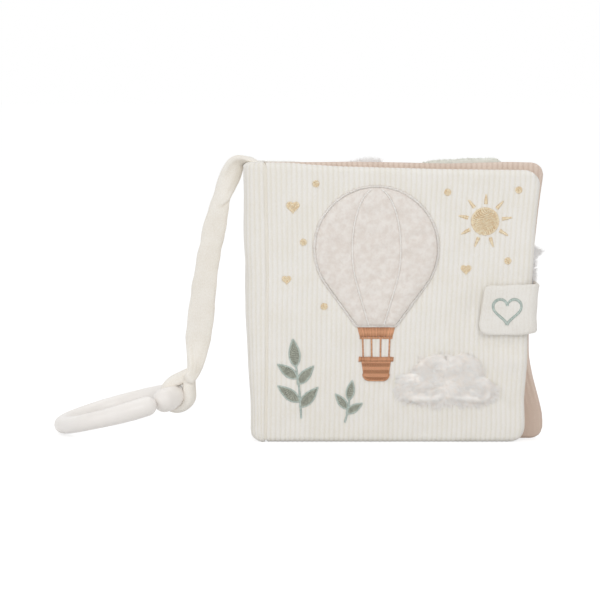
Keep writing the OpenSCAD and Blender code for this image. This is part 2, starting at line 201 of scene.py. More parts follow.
# %% The thread group and the pile group
def thread_group():
    """Colour: Dark to Thread by each stitch's own tone, which also holds painted shade at its ends
    and painted light at its middle, with fine twist flecks. Height: the twist.
    """
    colours = "NodeSocketColor"
    group, given, out = new_group(
        "thread", [(colours, "Thread", (1, 1, 1, 1)), (colours, "Dark", (0.5, 0.5, 0.5, 1))],
        [(colours, "Colour"), ("NodeSocketFloat", "Height")])
    twist = noise(group, stretched(group, 1, 1, 1), 4200, 1.0)
    tone = maths(group, "ADD", attribute(group, "tone"), spread(group, twist, 0.3, 0.7, -0.25, 0.25))
    colour = mix(group, spread(group, tone, 0.0, 1.0), given.outputs["Dark"], given.outputs["Thread"])
    group.links.new(colour, out.inputs["Colour"])
    group.links.new(twist, out.inputs["Height"])
    return group


def pile_group():
    """Colour: Root to Tip by height up the hair, varied hair by hair and in soft patches."""
    colours = "NodeSocketColor"
    group, given, out = new_group(
        "pile", [(colours, "Root", (0.5, 0.5, 0.5, 1)), (colours, "Tip", (1, 1, 1, 1))],
        [(colours, "Colour"), ("NodeSocketFloat", "Height")])
    patch = noise(group, stretched(group, 1, 1, 1), 420, 3.0)
    fine = noise(group, stretched(group, 1, 1, 1), 1500, 2.0)
    up = maths(group, "ADD", attribute(group, "tip"), spread(group, patch, 0.35, 0.65, -0.2, 0.24))
    varied = maths(group, "ADD", up, spread(group, attribute(group, "tone"), 0.0, 1.0, -0.42, 0.36))
    colour = mix(group, spread(group, varied, 0.0, 1.0), given.outputs["Root"], given.outputs["Tip"])
    group.links.new(colour, out.inputs["Colour"])
    group.links.new(fine, out.inputs["Height"])
    return group


KNIT, THREAD, PILE = knit_group(), thread_group(), pile_group()


# %% Materials
def cloth(name, group, first, second, roughness, sheen, bump, distance):
    """A material: the group's colour and height into one Principled shader with a soft sheen."""
    material = bpy.data.materials.new(name)
    material.use_nodes = True
    tree = material.node_tree
    shader = tree.nodes["Principled BSDF"]
    shader.inputs["Roughness"].default_value = roughness
    shader.inputs["Sheen Weight"].default_value = sheen
    shader.inputs["Sheen Roughness"].default_value = 0.5
    shader.inputs["Specular IOR Level"].default_value = 0.25
    node = tree.nodes.new("ShaderNodeGroup")
    node.node_tree = group
    node.inputs[0].default_value = first
    node.inputs[1].default_value = second
    relief = tree.nodes.new("ShaderNodeBump")
    relief.inputs["Strength"].default_value = bump
    relief.inputs["Distance"].default_value = distance * MM
    tree.links.new(node.outputs["Colour"], shader.inputs["Base Color"])
    tree.links.new(node.outputs["Height"], relief.inputs["Height"])
    tree.links.new(relief.outputs["Normal"], shader.inputs["Normal"])
    return material


# The second colour of each knit material is the painted shade of its grooves.
cream = cloth("cream_rib_jersey", KNIT, srgb(244, 241, 236), srgb(237, 232, 221), 0.9, 0.15, 0.5, 0.12)
cream_back = cloth("cream_plain_jersey", KNIT, srgb(242, 239, 233), srgb(229, 223, 213), 0.9, 0.15, 0.5, 0.1)
tan = cloth("tan_rib_jersey", KNIT, srgb(229, 212, 199), srgb(212, 191, 176), 0.9, 0.15, 0.5, 0.12)
strap_cloth = cloth("strap_jersey", KNIT, srgb(250, 246, 239), srgb(238, 231, 219), 0.85, 0.2, 0.25, 0.05)
plush = cloth("short_plush", PILE, srgb(225, 214, 205), srgb(248, 244, 239), 0.95, 0.25, 0.1, 0.02)
long_fur = cloth("long_fur", PILE, srgb(254, 247, 240), srgb(255, 254, 252), 0.9, 0.25, 0.1, 0.02)
tuft_white = cloth("tuft_white", PILE, srgb(248, 248, 247), srgb(255, 255, 255), 0.9, 0.25, 0.1, 0.02)
grey_fur = cloth("grey_fur", PILE, srgb(244, 244, 244), srgb(254, 254, 254), 0.9, 0.25, 0.1, 0.02)
sage_plush = cloth("sage_plush", PILE, srgb(226, 228, 219), srgb(243, 244, 237), 0.95, 0.25, 0.1, 0.02)
# Each thread material's second colour gives darker threads and the painted shade at stitch ends.
satin = cloth("satin_cord", THREAD, srgb(254, 252, 249), srgb(238, 230, 222), 0.45, 0.1, 0.15, 0.02)
brown = cloth("brown_thread", THREAD, srgb(238, 186, 148), srgb(164, 108, 74), 0.5, 0.1, 0.15, 0.02)
gold = cloth("gold_thread", THREAD, srgb(255, 246, 222), srgb(222, 186, 134), 0.5, 0.1, 0.15, 0.02)
sage = cloth("sage_thread", THREAD, srgb(216, 226, 220), srgb(156, 172, 163), 0.5, 0.1, 0.15, 0.02)
sage_deep = cloth("deep_sage_thread", THREAD, srgb(202, 205, 192), srgb(112, 115, 101), 0.55, 0.1, 0.15, 0.02)
fastener = cloth("fastener_pile", PILE, srgb(214, 210, 202), srgb(240, 238, 233), 0.8, 0.2, 0.5, 0.1)
print("materials:", len(bpy.data.materials))

# %% [markdown]
# ## From arrays to meshes
#
# Every surface here is a grid of points worked out with numpy, so one helper puts such arrays into
# a mesh, checks its faces and gives it its finish. A grid's quads come from index arrays.


# %% Mesh helpers
def make_piece(name, points, quads, tris, body, material, slot, smooth=True, **values):
    """A mesh piece from points in mm and two face tables; values are per-point attributes."""
    mesh = bpy.data.meshes.new(name)
    quads = np.asarray(quads, np.int32).reshape(-1, 4)
    tris = np.asarray(tris, np.int32).reshape(-1, 3)
    corners = np.concatenate([quads.ravel(), tris.ravel()])
    starts = np.concatenate([np.arange(len(quads)) * 4, len(quads) * 4 + np.arange(len(tris)) * 3])
    mesh.vertices.add(len(points))
    mesh.vertices.foreach_set("co", (np.asarray(points) * MM).astype(np.float32).ravel())
    mesh.loops.add(len(corners))
    mesh.loops.foreach_set("vertex_index", corners)
    mesh.polygons.add(len(starts))
    mesh.polygons.foreach_set("loop_start", starts.astype(np.int32))
    mesh.polygons.foreach_set("use_smooth", np.full(len(starts), smooth))
    mesh.update(calc_edges=True)
    if mesh.validate():
        print("  mended faces in", name)
    for label, data in values.items():
        layer = mesh.attributes.new(label, "FLOAT", "POINT")
        layer.data.foreach_set("value", np.asarray(data, np.float32).ravel())
    mesh.materials.append(material)
    piece = bpy.data.objects.new(name, mesh)
    bpy.context.collection.objects.link(piece)
    if body:
        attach(piece, body)
    print(f"  {name}: {2 * len(quads) + len(tris)} triangles")
    return piece


def grid_quads(index):
    """Quads of a table of point numbers: across a column, then up a row."""
    return np.stack([index[:-1, :-1], index[:-1, 1:], index[1:, 1:], index[1:, :-1]], -1).reshape(-1, 4)


def closed_pair(near, far):
    """Points and quads of a closed shell from two grids that share their border."""
    rows, cols = near.shape[:2]
    index = np.arange(rows * cols).reshape(rows, cols)
    behind = index.copy()
    behind[1:-1, 1:-1] = rows * cols + np.arange((rows - 2) * (cols - 2)).reshape(rows - 2, cols - 2)
    points = np.concatenate([near.reshape(-1, near.shape[2]), far[1:-1, 1:-1].reshape(-1, near.shape[2])])
    return points, np.concatenate([grid_quads(index), grid_quads(behind)[:, ::-1]])


def ripple(x, z, length, seed, count=9):
    """Smooth random waves: the mean of cosines of about that wavelength in random directions."""
    draw = np.random.default_rng(seed)
    turn, phase = draw.uniform(0, 2 * np.pi, (2, count))
    waves = 2 * np.pi / (length * draw.uniform(0.7, 1.5, count))
    total = sum(np.cos(w * (x * np.cos(t) + z * np.sin(t)) + p) for w, t, p in zip(waves, turn, phase))
    return total / math.sqrt(count)


def ease(value, low, high):
    """A smooth step from 0 at low to 1 at high."""
    t = np.clip((value - low) / (high - low), 0, 1)
    return t * t * (3 - 2 * t)


def soft_curve(at, places, values, soft=3.0):
    """Straight pieces through the given places, rounded off by averaging over the soft length."""
    around = np.linspace(-1.5, 1.5, 13)
    weight = np.exp(-around ** 2 * 2)
    return sum(w * np.interp(at + soft * a, places, values) for a, w in zip(around, weight)) / weight.sum()


# %% [markdown]
# ## A padded, ribbed sheet
#
# Covers, leaves and tab are all the same thing: two layers of jersey sewn round wadding. It could
# be simulated as inflated cloth, but a remesh would erase ribs 2.4 mm apart. So it is worked out:
# the thickness rises from each sewn edge along a quarter circle, corners are rounded by pulling
# a square grid onto a disc, and the ribs are a wave across the width.


# %% The padded sheet
RIB = 2.376
RIB_DEPTH = 0.2


def rib_wave(along):
    """1 on the rib's crest and 0 in the narrow groove; along counts ribs."""
    return np.abs(np.sin(np.pi * along)) ** 0.75


def steps_across(size, edge, middle):
    """Distances from 0 to size: close together near both ends, even in between."""
    near = edge * np.array([0, 0.02, 0.07, 0.15, 0.27, 0.42, 0.6, 0.8, 1.0])
    count = int(round((size - 2 * edge) / middle))
    return np.concatenate([near[:-1], np.linspace(edge, size - edge, count + 1), size - near[:-1][::-1]])


def round_corner(a, b, at_a, at_b, sign_a, sign_b, r):
    """Points within r of a square corner are pulled onto a quarter disc of radius r."""
    pa = np.clip((a - at_a) * sign_a + r, 0, r)
    pb = np.clip((b - at_b) * sign_b + r, 0, r)
    a = a + sign_a * pa * (np.sqrt(1 - pb ** 2 / (2 * r * r)) - 1)
    b = b + sign_b * pb * (np.sqrt(1 - pa ** 2 / (2 * r * r)) - 1)
    return a, b


def sheet_grid(size, cols, rows, edges, corners):
    """Flat places a, b of a rounded sheet and its swell. q is the distance to the nearest edge
    over that edge's rounding, and swell, the share of full thickness, is sqrt(1 - (1 - q)^2)."""
    w, h = size
    a, b = np.meshgrid(cols, rows)
    left, right, foot, head = edges
    q = np.minimum.reduce([a / left, (w - a) / right, b / foot, (h - b) / head, np.ones_like(a)])
    for (ca, cb, sa, sb), r in zip(((0, 0, -1, -1), (w, 0, 1, -1), (w, h, 1, 1), (0, h, -1, 1)), corners):
        a, b = round_corner(a, b, ca, cb, sa, sb, r)
    return a, b, np.sqrt(1 - (1 - q) ** 2), 1 - q


def padded_sheet(name, size, grid, place, thick, faces, ribs, body, material, slot, depth=RIB_DEPTH,
                 foot_shade=0.0):
    """A closed ribbed pad. place turns flat a, b into x and z, thick is the middle and half
    thickness in y, faces are what the near and far faces add, and ribs counts the ribs. The last
    argument paints shade on the lowest 50 mm by lowering the rib value towards the groove colour."""
    w, h = size
    a, b, swell, rim = grid
    # rib is 1 on a crest and 0 in a groove: it sets the groove's depth and its painted shade.
    rib = rib_wave(a / w * ribs + 0.04 * ripple(a, b, 40, 5))
    x, z = place(a, b)
    into_seam = (1 - rib) * depth * rim * (np.minimum(b, h - b) < 4)
    z = z + into_seam * np.where(b < h / 2, 1, -1)
    middle, half = thick
    groove = (1 - rib) * depth
    near = middle - swell * (half - groove + faces[0](x, z))
    far = middle + swell * (half - groove + faces[1](x, z))
    # Painted shade: darker towards the foot, fading out by 50 mm up.
    rib = rib - foot_shade * (1 - ease(z, 4, 50))
    points, quads = closed_pair(np.stack([x, near, z, rib], -1), np.stack([x, far, z, rib], -1))
    return make_piece(name, points[:, :3], quads, [], body, material, slot, rib=points[:, 3])


print("ribs across a cover:", round(127 / RIB))

# %% [markdown]
# ## A soft tube
#
# The strap, its loop and the ring are all tubes along a path. A curve object with a bevel could
# make them, but a strap is wider than thick, turns over and has folds, so each ring of points is
# worked out from the path's direction and the direction of its wide axis.


# %% Tube helpers
def unit(v):
    """Vectors made 1 long."""
    return v / np.linalg.norm(v, axis=-1, keepdims=True)


def along_route(route, columns, count):
    """A route's points and columns at count even steps, on a smooth Catmull-Rom curve."""
    table = np.column_stack([route] + columns)
    length = np.concatenate([[0], np.cumsum(np.linalg.norm(np.diff(route, axis=0), axis=1))])
    ends = np.concatenate([[2 * table[0] - table[1]], table, [2 * table[-1] - table[-2]]])
    s = np.linspace(0, length[-1], count)
    i = np.clip(np.searchsorted(length, s, "right") - 1, 0, len(route) - 2)
    t = ((s - length[i]) / (length[i + 1] - length[i]))[:, None]
    p0, p1, p2, p3 = ends[i], ends[i + 1], ends[i + 2], ends[i + 3]
    smooth = 0.5 * (2 * p1 + (p2 - p0) * t + (2 * p0 - 5 * p1 + 4 * p2 - p3) * t ** 2
                    + (3 * p1 - p0 - 3 * p2 + p3) * t ** 3)
    return smooth, s


def tube_rings(centre, across, half_w, half_t, sides, flatness=0.8):
    """Rings of points round a path. A ring's point at angle t is half_w cos t across and half_t
    sin t up, both with their powers lowered to flatness, so that 1 is round and 0.5 nearly flat."""
    way = unit(np.gradient(centre, axis=0))
    across = unit(across - way * np.sum(across * way, axis=1, keepdims=True))
    up = np.cross(way, across)
    t = np.linspace(0, 2 * np.pi, sides, endpoint=False)
    c = np.sign(np.cos(t)) * np.abs(np.cos(t)) ** flatness
    s = np.sign(np.sin(t)) * np.abs(np.sin(t)) ** flatness
    sideways = across[:, None] * (half_w[:, None] * c)[:, :, None]
    out = sideways + up[:, None] * (half_t[:, None] * s)[:, :, None]
    return centre[:, None] + out, unit(out), t


def round_ends(count, share):
    """Scale of a tube's rings that closes both ends as half rounds over that share of its length."""
    s = np.linspace(0, 1, count)
    near = np.clip(np.minimum(s, 1 - s) / share, 0, 1)
    return np.sqrt(np.clip(1 - (1 - near) ** 2, 1e-4, 1))


def make_tube(name, rings, body, material, slot, **values):
    """A closed tube from rings (n, sides, 3), with a middle point at each end."""
    n, sides = rings.shape[:2]
    index = np.arange(n * sides).reshape(n, sides)
    index = np.concatenate([index, index[:, :1]], 1)
    poles = n * sides + np.arange(2)
    first, last = index[0], index[-1]
    tris = np.concatenate([
        np.stack([np.full(sides, poles[0]), first[1:], first[:-1]], -1),
        np.stack([np.full(sides, poles[1]), last[:-1], last[1:]], -1)])
    points = np.concatenate([rings.reshape(-1, 3), rings[:1].mean(1), rings[-1:].mean(1)])
    values = {k: np.concatenate([np.ravel(v), np.ravel(v)[:1], np.ravel(v)[-1:]]) for k, v in values.items()}
    return make_piece(name, points, grid_quads(index), tris, body, material, slot, **values)


# %% [markdown]
# ## The strap
#
# A strip of fine jersey sewn into a tube and pressed flat. It leaves the spine's head lying flat,
# bends over, turns its face to the front within 12 mm, and hangs to the ring. The route repeats
# the solid's own. One long fold runs down from where it has turned over, and small folds gather
# where it is pulled together at both ends.

# %% Strap
STRAP_ROUTE = np.array([
    [-64.6, 0, 130.5], [-65.4, 0, 133.6], [-67.0, 0, 135.1], [-69.2, 0, 135.9], [-72.3, 0.2, 135.9],
    [-74.6, 0.4, 134.9], [-76.2, 0.7, 133], [-77.4, 1.1, 130.4], [-79, 1.7, 126.5],
    [-80.9, 2.2, 122.3], [-82.7, 2.7, 117.2], [-84.2, 3.6, 111.3], [-85.9, 4.6, 104],
    [-87.4, 6, 97.1], [-88.9, 7.3, 90.1], [-90.6, 9.1, 80.2], [-92.2, 11.6, 68.2],
    [-93.6, 14.1, 56.3], [-95, 16.1, 45.3], [-95.6, 15.6, 38.5], [-96.3, 12.6, 33.8],
    [-97.8, 8.2, 29.9], [-100.2, 5.2, 27.4]])
STRAP_WIDTH = [7.5, 8.4, 9.0, 9.4, 9.8, 10.0, 10.2, 10.3, 10.2, 9.4, 8.7, 9.9, 11.0, 11.0, 11.1,
               11.4, 12.3, 13.0, 12.0, 9.8, 7.6, 6.2, 5.6]
STRAP_TURN = [0, 0, 0, 4, 20, 38, 54, 68, 80, 92, 102, 98, 92, 90, 90, 90, 90, 90, 90, 86, 80, 74, 70]
STRAP_THICK = [3.2, 3.0, 2.9, 3.0, 3.4, 3.9, 4.2, 4.3, 4.4, 4.6, 4.8, 4.3, 4.1, 4.1, 4.1, 4.0, 3.9,
               3.9, 4.2, 4.6, 5.0, 5.0, 4.6]


def strap():
    """The flattened tube, with folds pressed into it as narrow bells across its girth."""
    table, s = along_route(STRAP_ROUTE, [STRAP_WIDTH, STRAP_TURN, STRAP_THICK], 190)
    centre, width, thick = table[:, :3], table[:, 3], table[:, 5]
    turn = np.radians(table[:, 4])[:, None]
    way = unit(np.gradient(centre, axis=0))
    deep = unit(np.array([0, 1, 0]) - way * way[:, 1:2])
    across = deep * np.cos(turn) + np.cross(way, deep) * np.sin(turn)
    close = round_ends(len(s), 0.016)
    rings, out, t = tube_rings(centre, across, width / 2 * close, thick / 2 * close, 40, 0.82)
    share = (s / s[-1])[:, None]
    fold = np.zeros_like(share + t)
    for at, spread_t, start, end, depth in (
            (0.95, 0.2, 0.1, 0.27, 0.3), (2.05, 0.22, 0.0, 0.2, 0.3), (1.45, 0.15, 0.86, 0.99, 0.5),
            (2.15, 0.16, 0.8, 0.98, 0.45), (0.95, 0.14, 0.84, 0.97, 0.4), (1.75, 0.5, 0.3, 0.85, 0.12)):
        wander = at + 0.25 * np.sin(9 * share + at)
        fold += depth * np.exp(-((t - wander) / spread_t) ** 2) * ease(share, start, start + 0.06) * (
            1 - ease(share, end - 0.05, end))
    slant = 0.2 + 1.9 * (share - 0.254) / 0.056
    crease = ease(share, 0.246, 0.26) * (1 - ease(share, 0.27, 0.3))
    fold += 0.75 * np.exp(-((t - slant) / 0.22) ** 2) * crease
    soft = 0.14 * ripple(s[:, None] + 0 * t, 6 * t + 0 * s[:, None], 11, 8)
    rings = rings + out * ((soft - fold) * close[:, None])[:, :, None]
    # The folds lower the rib value, painting shade in them in the groove colour.
    piece = make_tube("strap_tube", rings, "spine_block", strap_cloth, "strap_jersey",
                      rib=np.clip(0.85 - 0.9 * fold, 0, 1))
    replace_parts(piece, "strap")
    return piece, centre, s[-1]


strap_piece, strap_path, strap_length = strap()
print("strap, mm along its middle:", round(strap_length, 1))

# %% [markdown]
# ## The clip ring and the loop round it
#
# The ring is one smooth moulding: a round rod bent to 70 mm, swelling to a bulb at one end and
# plainly rounded at the other. Its section is a circle carried round the ring's own circle. The
# loop is a flat sleeve of the strap's jersey wrapped round the rod, so its path is a circle that
# opens into a point under the strap: a drop shape, in a plane that stands across the rod.

# %% Clip ring
RING_MIDDLE = np.array([-133.0, 20.5, 12.0])
RING_R, ROD_R, BULB_R, END_R = 30.4, 4.1, 5.8, 4.75
RING_TILT, RING_ROLL = math.radians(15), math.radians(1.4)
BULB_AT, END_AT = -40.6, -61.3


def on_ring(degrees, outward=0.0, up=0.0):
    """The place at an angle round the ring, off its circle by so much outward and up."""
    a = np.radians(np.asarray(degrees, float))
    x, y, z = (RING_R + outward) * np.cos(a), (RING_R + outward) * np.sin(a), up + 0 * a
    c, s = math.cos(RING_ROLL), math.sin(RING_ROLL)
    y, z = y * c + z * s, z * c - y * s
    c, s = math.cos(RING_TILT), math.sin(RING_TILT)
    return RING_MIDDLE + np.stack([x * c - z * s, y, x * s + z * c], -1)


def clip_ring():
    """The rod's radius falls smoothly from the bulb's, and swells a little towards its plain end;
    both ends are half spheres."""
    a = np.linspace(BULB_AT, 360 + END_AT, 240)
    radius = ROD_R + (BULB_R - ROD_R) * (1 - ease(a, BULB_AT + 5, BULB_AT + 31))
    radius += (END_R - ROD_R) * ease(a, 300 + END_AT, 352 + END_AT)
    dome = np.linspace(0, 1, 14)[1:-1]
    start = BULB_AT - np.degrees(BULB_R / RING_R) * np.sin(dome[::-1] * np.pi / 2)
    end = 360 + END_AT + np.degrees(END_R / RING_R) * np.sin(dome * np.pi / 2)
    turns = np.concatenate([start, a, end])
    radius = np.concatenate(
        [BULB_R * np.cos(dome[::-1] * np.pi / 2), radius, END_R * np.cos(dome * np.pi / 2)])
    centre = on_ring(turns)
    across = on_ring(turns, 1.0) - on_ring(turns)
    rings, _, _ = tube_rings(centre, across, radius, radius, 40, 1.0)
    piece = make_tube("clip_ring_moulding", rings, "spine_block", ring_plastic, "ring_plastic")
    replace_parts(piece, "clip_ring")
    return piece


ring_plastic = bpy.data.materials.new("ring_plastic")
ring_plastic.use_nodes = True
ring_tree = ring_plastic.node_tree
shine = ring_tree.nodes["Principled BSDF"]
shine.inputs["Roughness"].default_value = 0.38
shine.inputs["Coat Weight"].default_value = 0.15
shine.inputs["Coat Roughness"].default_value = 0.2
cloudy = spread(ring_tree, noise(ring_tree, stretched(ring_tree, 1, 1, 1), 60), 0.3, 0.7)
light_tone = ring_tree.nodes.new("ShaderNodeRGB")
light_tone.outputs[0].default_value = srgb(248, 244, 240)
dark_tone = ring_tree.nodes.new("ShaderNodeRGB")
dark_tone.outputs[0].default_value = srgb(244, 239, 234)
plastic_tone = mix(ring_tree, cloudy, dark_tone.outputs[0], light_tone.outputs[0])
ring_tree.links.new(plastic_tone, shine.inputs["Base Color"])
ring_piece = clip_ring()

# %% Loop
LOOP_AT = -17.0
LOOP_R = 6.6


def strap_loop():
    """A drop-shaped path across the rod: straight from the point to a circle, round it, and back."""
    middle = on_ring(LOOP_AT)
    right = unit(on_ring(LOOP_AT, 1.0) - middle)
    up = unit(on_ring(LOOP_AT, 0, 1.0) - middle)
    rod_way = np.cross(up, right)
    point = np.array([8.5, 9.0])
    far = np.hypot(*point)
    aim, open_a = math.atan2(point[1], point[0]), math.acos(LOOP_R / far)
    turn = np.linspace(aim - open_a, aim + open_a - 2 * math.pi, 110)
    round_it = LOOP_R * np.stack([np.cos(turn), np.sin(turn)], -1)
    t = np.linspace(0, 1, 26)[1:-1, None]
    flat = np.concatenate(
        [point + (round_it[0] - point) * t, round_it, round_it[-1] + (point - round_it[-1]) * t])
    centre = middle + flat[:, :1] * right + flat[:, 1:] * up
    share = np.linspace(0, 1, len(centre))
    centre = centre + rod_way * (1.6 * (1 - ease(share, 0, 0.2)) + 0.8 * ease(share, 0.8, 1))[:, None]
    centre = centre + right * (2.4 * ease(share, 0.87, 1) - 0.4 * (1 - ease(share, 0.08, 0.22)))[:, None]
    half_w = soft_curve(share, [0, 0.1, 0.3, 0.55, 0.8, 0.93, 1], [3.2, 4.4, 5.0, 5.2, 4.8, 3.6, 2.6], 0.03)
    close = round_ends(len(share), 0.02)
    half_t = soft_curve(share, [0, 0.1, 0.3, 0.6, 0.75, 0.88, 1], [2.9, 2.9, 2.3, 1.9, 2.1, 3.2, 3.2], 0.03)
    across = np.tile(rod_way, (len(share), 1)) - 0.35 * right * ease(share, 0.7, 1)[:, None]
    rings, out, t = tube_rings(centre, across, half_w * close, half_t * close, 32, 0.75)
    share = share[:, None]
    fold = sum(d * np.exp(-((t - at - 0.3 * np.sin(7 * share + at)) / 0.2) ** 2) * near for at, d, near in (
        (4.3, 0.5, 1 - ease(share, 0.05, 0.4)), (5.0, 0.45, 1 - ease(share, 0.1, 0.35)),
        (4.6, 0.55, ease(share, 0.7, 0.95)), (1.6, 0.4, ease(share, 0.7, 0.95)),
        (1.3, 0.3, 1 - ease(share, 0.1, 0.4))))
    rings = rings - out * (fold * close[:, None])[:, :, None]
    # The folds lower the rib value, painting shade in them in the groove colour.
    piece = make_tube("strap_loop_sleeve", rings, "spine_block", strap_cloth, "strap_jersey",
                      rib=np.clip(0.85 - 0.8 * fold, 0, 1))
    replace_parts(piece, "strap_loop")
    return piece


loop_piece = strap_loop()

# %% [markdown]
# ## The covers
#
# Each cover is two layers of ribbed jersey over a pad. Beside the spine it is stitched flat in a
# narrow seam; its other edges are turned and full. The cloth isn't a plate: it waves softly, it
# dips where the balloon is sewn down, and the tab's fastener pulls it into a fold under the tab.
# All of that is one function of x and z, because the embroidery has to sit on the same surface.

# %% The front cover's surface
COVER_OUT = 15.0
FORE_EDGE = ([0, 8.9, 21, 38, 52.3, 77.4, 97.7, 103.4, 115.9, 124.7, 136],
             [63.6, 64.2, 63.7, 65.0, 65.2, 67.0, 68.2, 68.5, 69.6, 70.6, 71.0])
HEAD_EDGE = ([-62, -49, -40, -25, 23, 60, 75], [135.0, 134.9, 134.1, 133.2, 131.9, 131.5, 131.4])
SEAM = ([0, 30, 60, 80, 100, 115, 125, 136], [-61.5, -60.9, -60.6, -60.5, -60.6, -61.1, -61.2, -61.6])
BALLOON_R, BALLOON_X, BALLOON_Z = 29.0, -8.0, 94.0
MOUTH_Z, MOUTH_HALF = 57.0, 9.0


def envelope(grow, count=260):
    """The balloon's outline: an arc from -35 to 215 degrees, and straight sides to its mouth."""
    a = np.radians(np.linspace(-35, 215, 200))
    r = BALLOON_R + grow
    arc = np.stack([BALLOON_X + r * np.cos(a), BALLOON_Z + r * np.sin(a)], -1)
    low = np.array([[BALLOON_X - MOUTH_HALF - grow, MOUTH_Z - grow / 2],
                    [BALLOON_X + MOUTH_HALF + grow, MOUTH_Z - grow / 2]])
    return even_steps(np.concatenate([arc, low, arc[:1]]), count)[:-1]


def even_steps(line, count):
    """The same line with count points at even distances."""
    far = np.concatenate([[0], np.cumsum(np.linalg.norm(np.diff(line, axis=0), axis=1))])
    at = np.linspace(0, far[-1], count)
    return np.stack([np.interp(at, far, line[:, i]) for i in range(line.shape[1])], -1)


def distance_to(x, z, line):
    """The distance from every (x, z) to the nearest of the line's points."""
    flat = np.stack([x.ravel(), z.ravel()], -1)
    near = np.min(np.hypot(flat[:, None, 0] - line[None, :, 0], flat[:, None, 1] - line[None, :, 1]), axis=1)
    return near.reshape(x.shape)


PLUSH_EDGE = envelope(0.6)


def front_swell(x, z):
    """What the front's cloth adds outwards: waves, a dip round the balloon, folds by the tab."""
    x, z = np.asarray(x, float), np.asarray(z, float)
    plush_seam = 0.3 * np.exp(-(distance_to(x, z, PLUSH_EDGE) / 2.0) ** 2)
    swell = 0.3 * ripple(x, z, 34, 3) + 0.14 * ripple(x, z, 15, 4) - plush_seam
    near_edge = ease(x, 36, 60)
    swell -= 1.3 * near_edge * np.exp(-((z - 47.5 + 0.1 * (x - 50)) / 3.0) ** 2)
    swell += 0.9 * near_edge * np.exp(-((z - 39.5 + 0.12 * (x - 50)) / 4.5) ** 2)
    swell -= 0.5 * ease(x, 38, 58) * np.exp(-((z - 80.5) / 2.6) ** 2)
    swell -= 0.7 * np.exp(-((x - 37.5 - 0.15 * (z - 64)) / 3.2) ** 2) * np.exp(-((z - 62) / 13) ** 2)
    swell -= 0.5 * np.exp(-((x - 54 + 0.8 * (z - 20)) / 3.5) ** 2) * np.exp(-((z - 20) / 10) ** 2)
    return swell


def front_y(x, z):
    """The depth of the front cover's crests, where embroidery lies."""
    return -COVER_OUT - front_swell(x, z)


def back_swell(x, z):
    """Slow waves of the back cover's outer face."""
    return 0.35 * ripple(x, z, 30, 13) + 0.15 * ripple(x, z, 14, 14)


def inner_swell(x, z):
    """Slower, lower waves of both covers' inner faces."""
    return 0.12 * ripple(x, z, 26, 21)


def cover_place(a, b):
    """Flat a, b of a cover to x, z: between the seam and the fore edge, the foot and the head."""
    z = b
    for _ in range(2):
        left, right = soft_curve(z, *SEAM) + 0.3, soft_curve(z, *FORE_EDGE)
        x = left + a / COVER_SIZE[0] * (right - left)
        z = b / COVER_SIZE[1] * soft_curve(x, *HEAD_EDGE)
    return x, z


# %% Covers
COVER_SIZE = (127.0, 133.0)
COVER_RIBS = 53


def cover_grid(per_rib, row):
    """Columns in step with the ribs, so that every groove has its own column."""
    w, h = COVER_SIZE
    even = np.linspace(0, w, COVER_RIBS * per_rib + 1)
    extra = np.array([0.05, 0.18])
    cols = np.concatenate([[0], extra, even[1:-1], w - extra[::-1], [w]])
    return sheet_grid(COVER_SIZE, cols, steps_across(h, 3.2, row), (0.9, 3.4, 3.0, 3.0),
                      (2.0, 7.0, 8.0, 0.5))


front_cover = padded_sheet("front_cover_pad", COVER_SIZE, cover_grid(6, 1.75), cover_place, (-11, 4),
                           (front_swell, inner_swell), COVER_RIBS, "front_board", cream, "cream_jersey")
back_cover = padded_sheet("back_cover_pad", COVER_SIZE, cover_grid(4, 2.1), cover_place, (11, 4),
                          (inner_swell, back_swell), COVER_RIBS, "back_board", cream, "cream_jersey")
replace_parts(front_cover, "front_cover")
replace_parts(back_cover, "back_cover")

# %% [markdown]
# ## The leaves
#
# Three thinner pads in tan jersey, sewn together at the spine. The front one is seen past the
# cover: along the head, where its ribs scallop the edge, and at the foot, where its corner
# splays out. A leaf's fore edge is a soft curve through the places where it is seen.

# %% Leaves
LEAF_SIZE = (130.0, 134.0)
LEAF_RIBS = 54
SPLAYED_EDGE = ([0, 5, 12, 20, 30, 40, 52, 90, 110, 120, 128, 136],
                [72.6, 73.4, 73.2, 71.2, 68.4, 66.4, 66.2, 68.2, 70.2, 71.4, 72.6, 72.8])
STRAIGHT_EDGE = ([0, 20, 60, 100, 136], [65.6, 65.8, 66.8, 69.4, 72.2])
LEAF_HEAD = ([-62, -20, 0, 26, 46, 56, 74], [134.8, 135.2, 134.9, 134.3, 134.8, 135.1, 134.6])


def leaf(name, middle, fore, tall, seed):
    """A leaf between the spine and its own fore edge, lifted a little off the ground."""
    def place(a, b):
        z = b / LEAF_SIZE[1] * (tall - 0.8)
        x = -61.9 + a / LEAF_SIZE[0] * (soft_curve(z, *fore, 4) + 61.9)
        return x, 0.8 + b / LEAF_SIZE[1] * (soft_curve(x, *LEAF_HEAD) - 135 + tall - 0.8)

    def swell(x, z):
        return 0.16 * ripple(x, z, 24, seed)

    w, h = LEAF_SIZE
    even = np.linspace(0, w, LEAF_RIBS * 4 + 1)
    cols = np.concatenate([even[:1], [0.08, 0.25], even[1:-1], [w - 0.25, w - 0.08], even[-1:]])
    grid = sheet_grid(LEAF_SIZE, cols, steps_across(h, 1.9, 3.4), (1.0, 1.9, 1.9, 1.9), (1.5, 5.5, 6.0, 1.5))
    # The 0.9 paints shade on the leaves' lowest 50 mm.
    piece = padded_sheet(name, LEAF_SIZE, grid, place, (middle, 1.95), (swell, swell), LEAF_RIBS,
                         "spine_block", tan, "tan_jersey", 0.1, 0.9)
    return piece


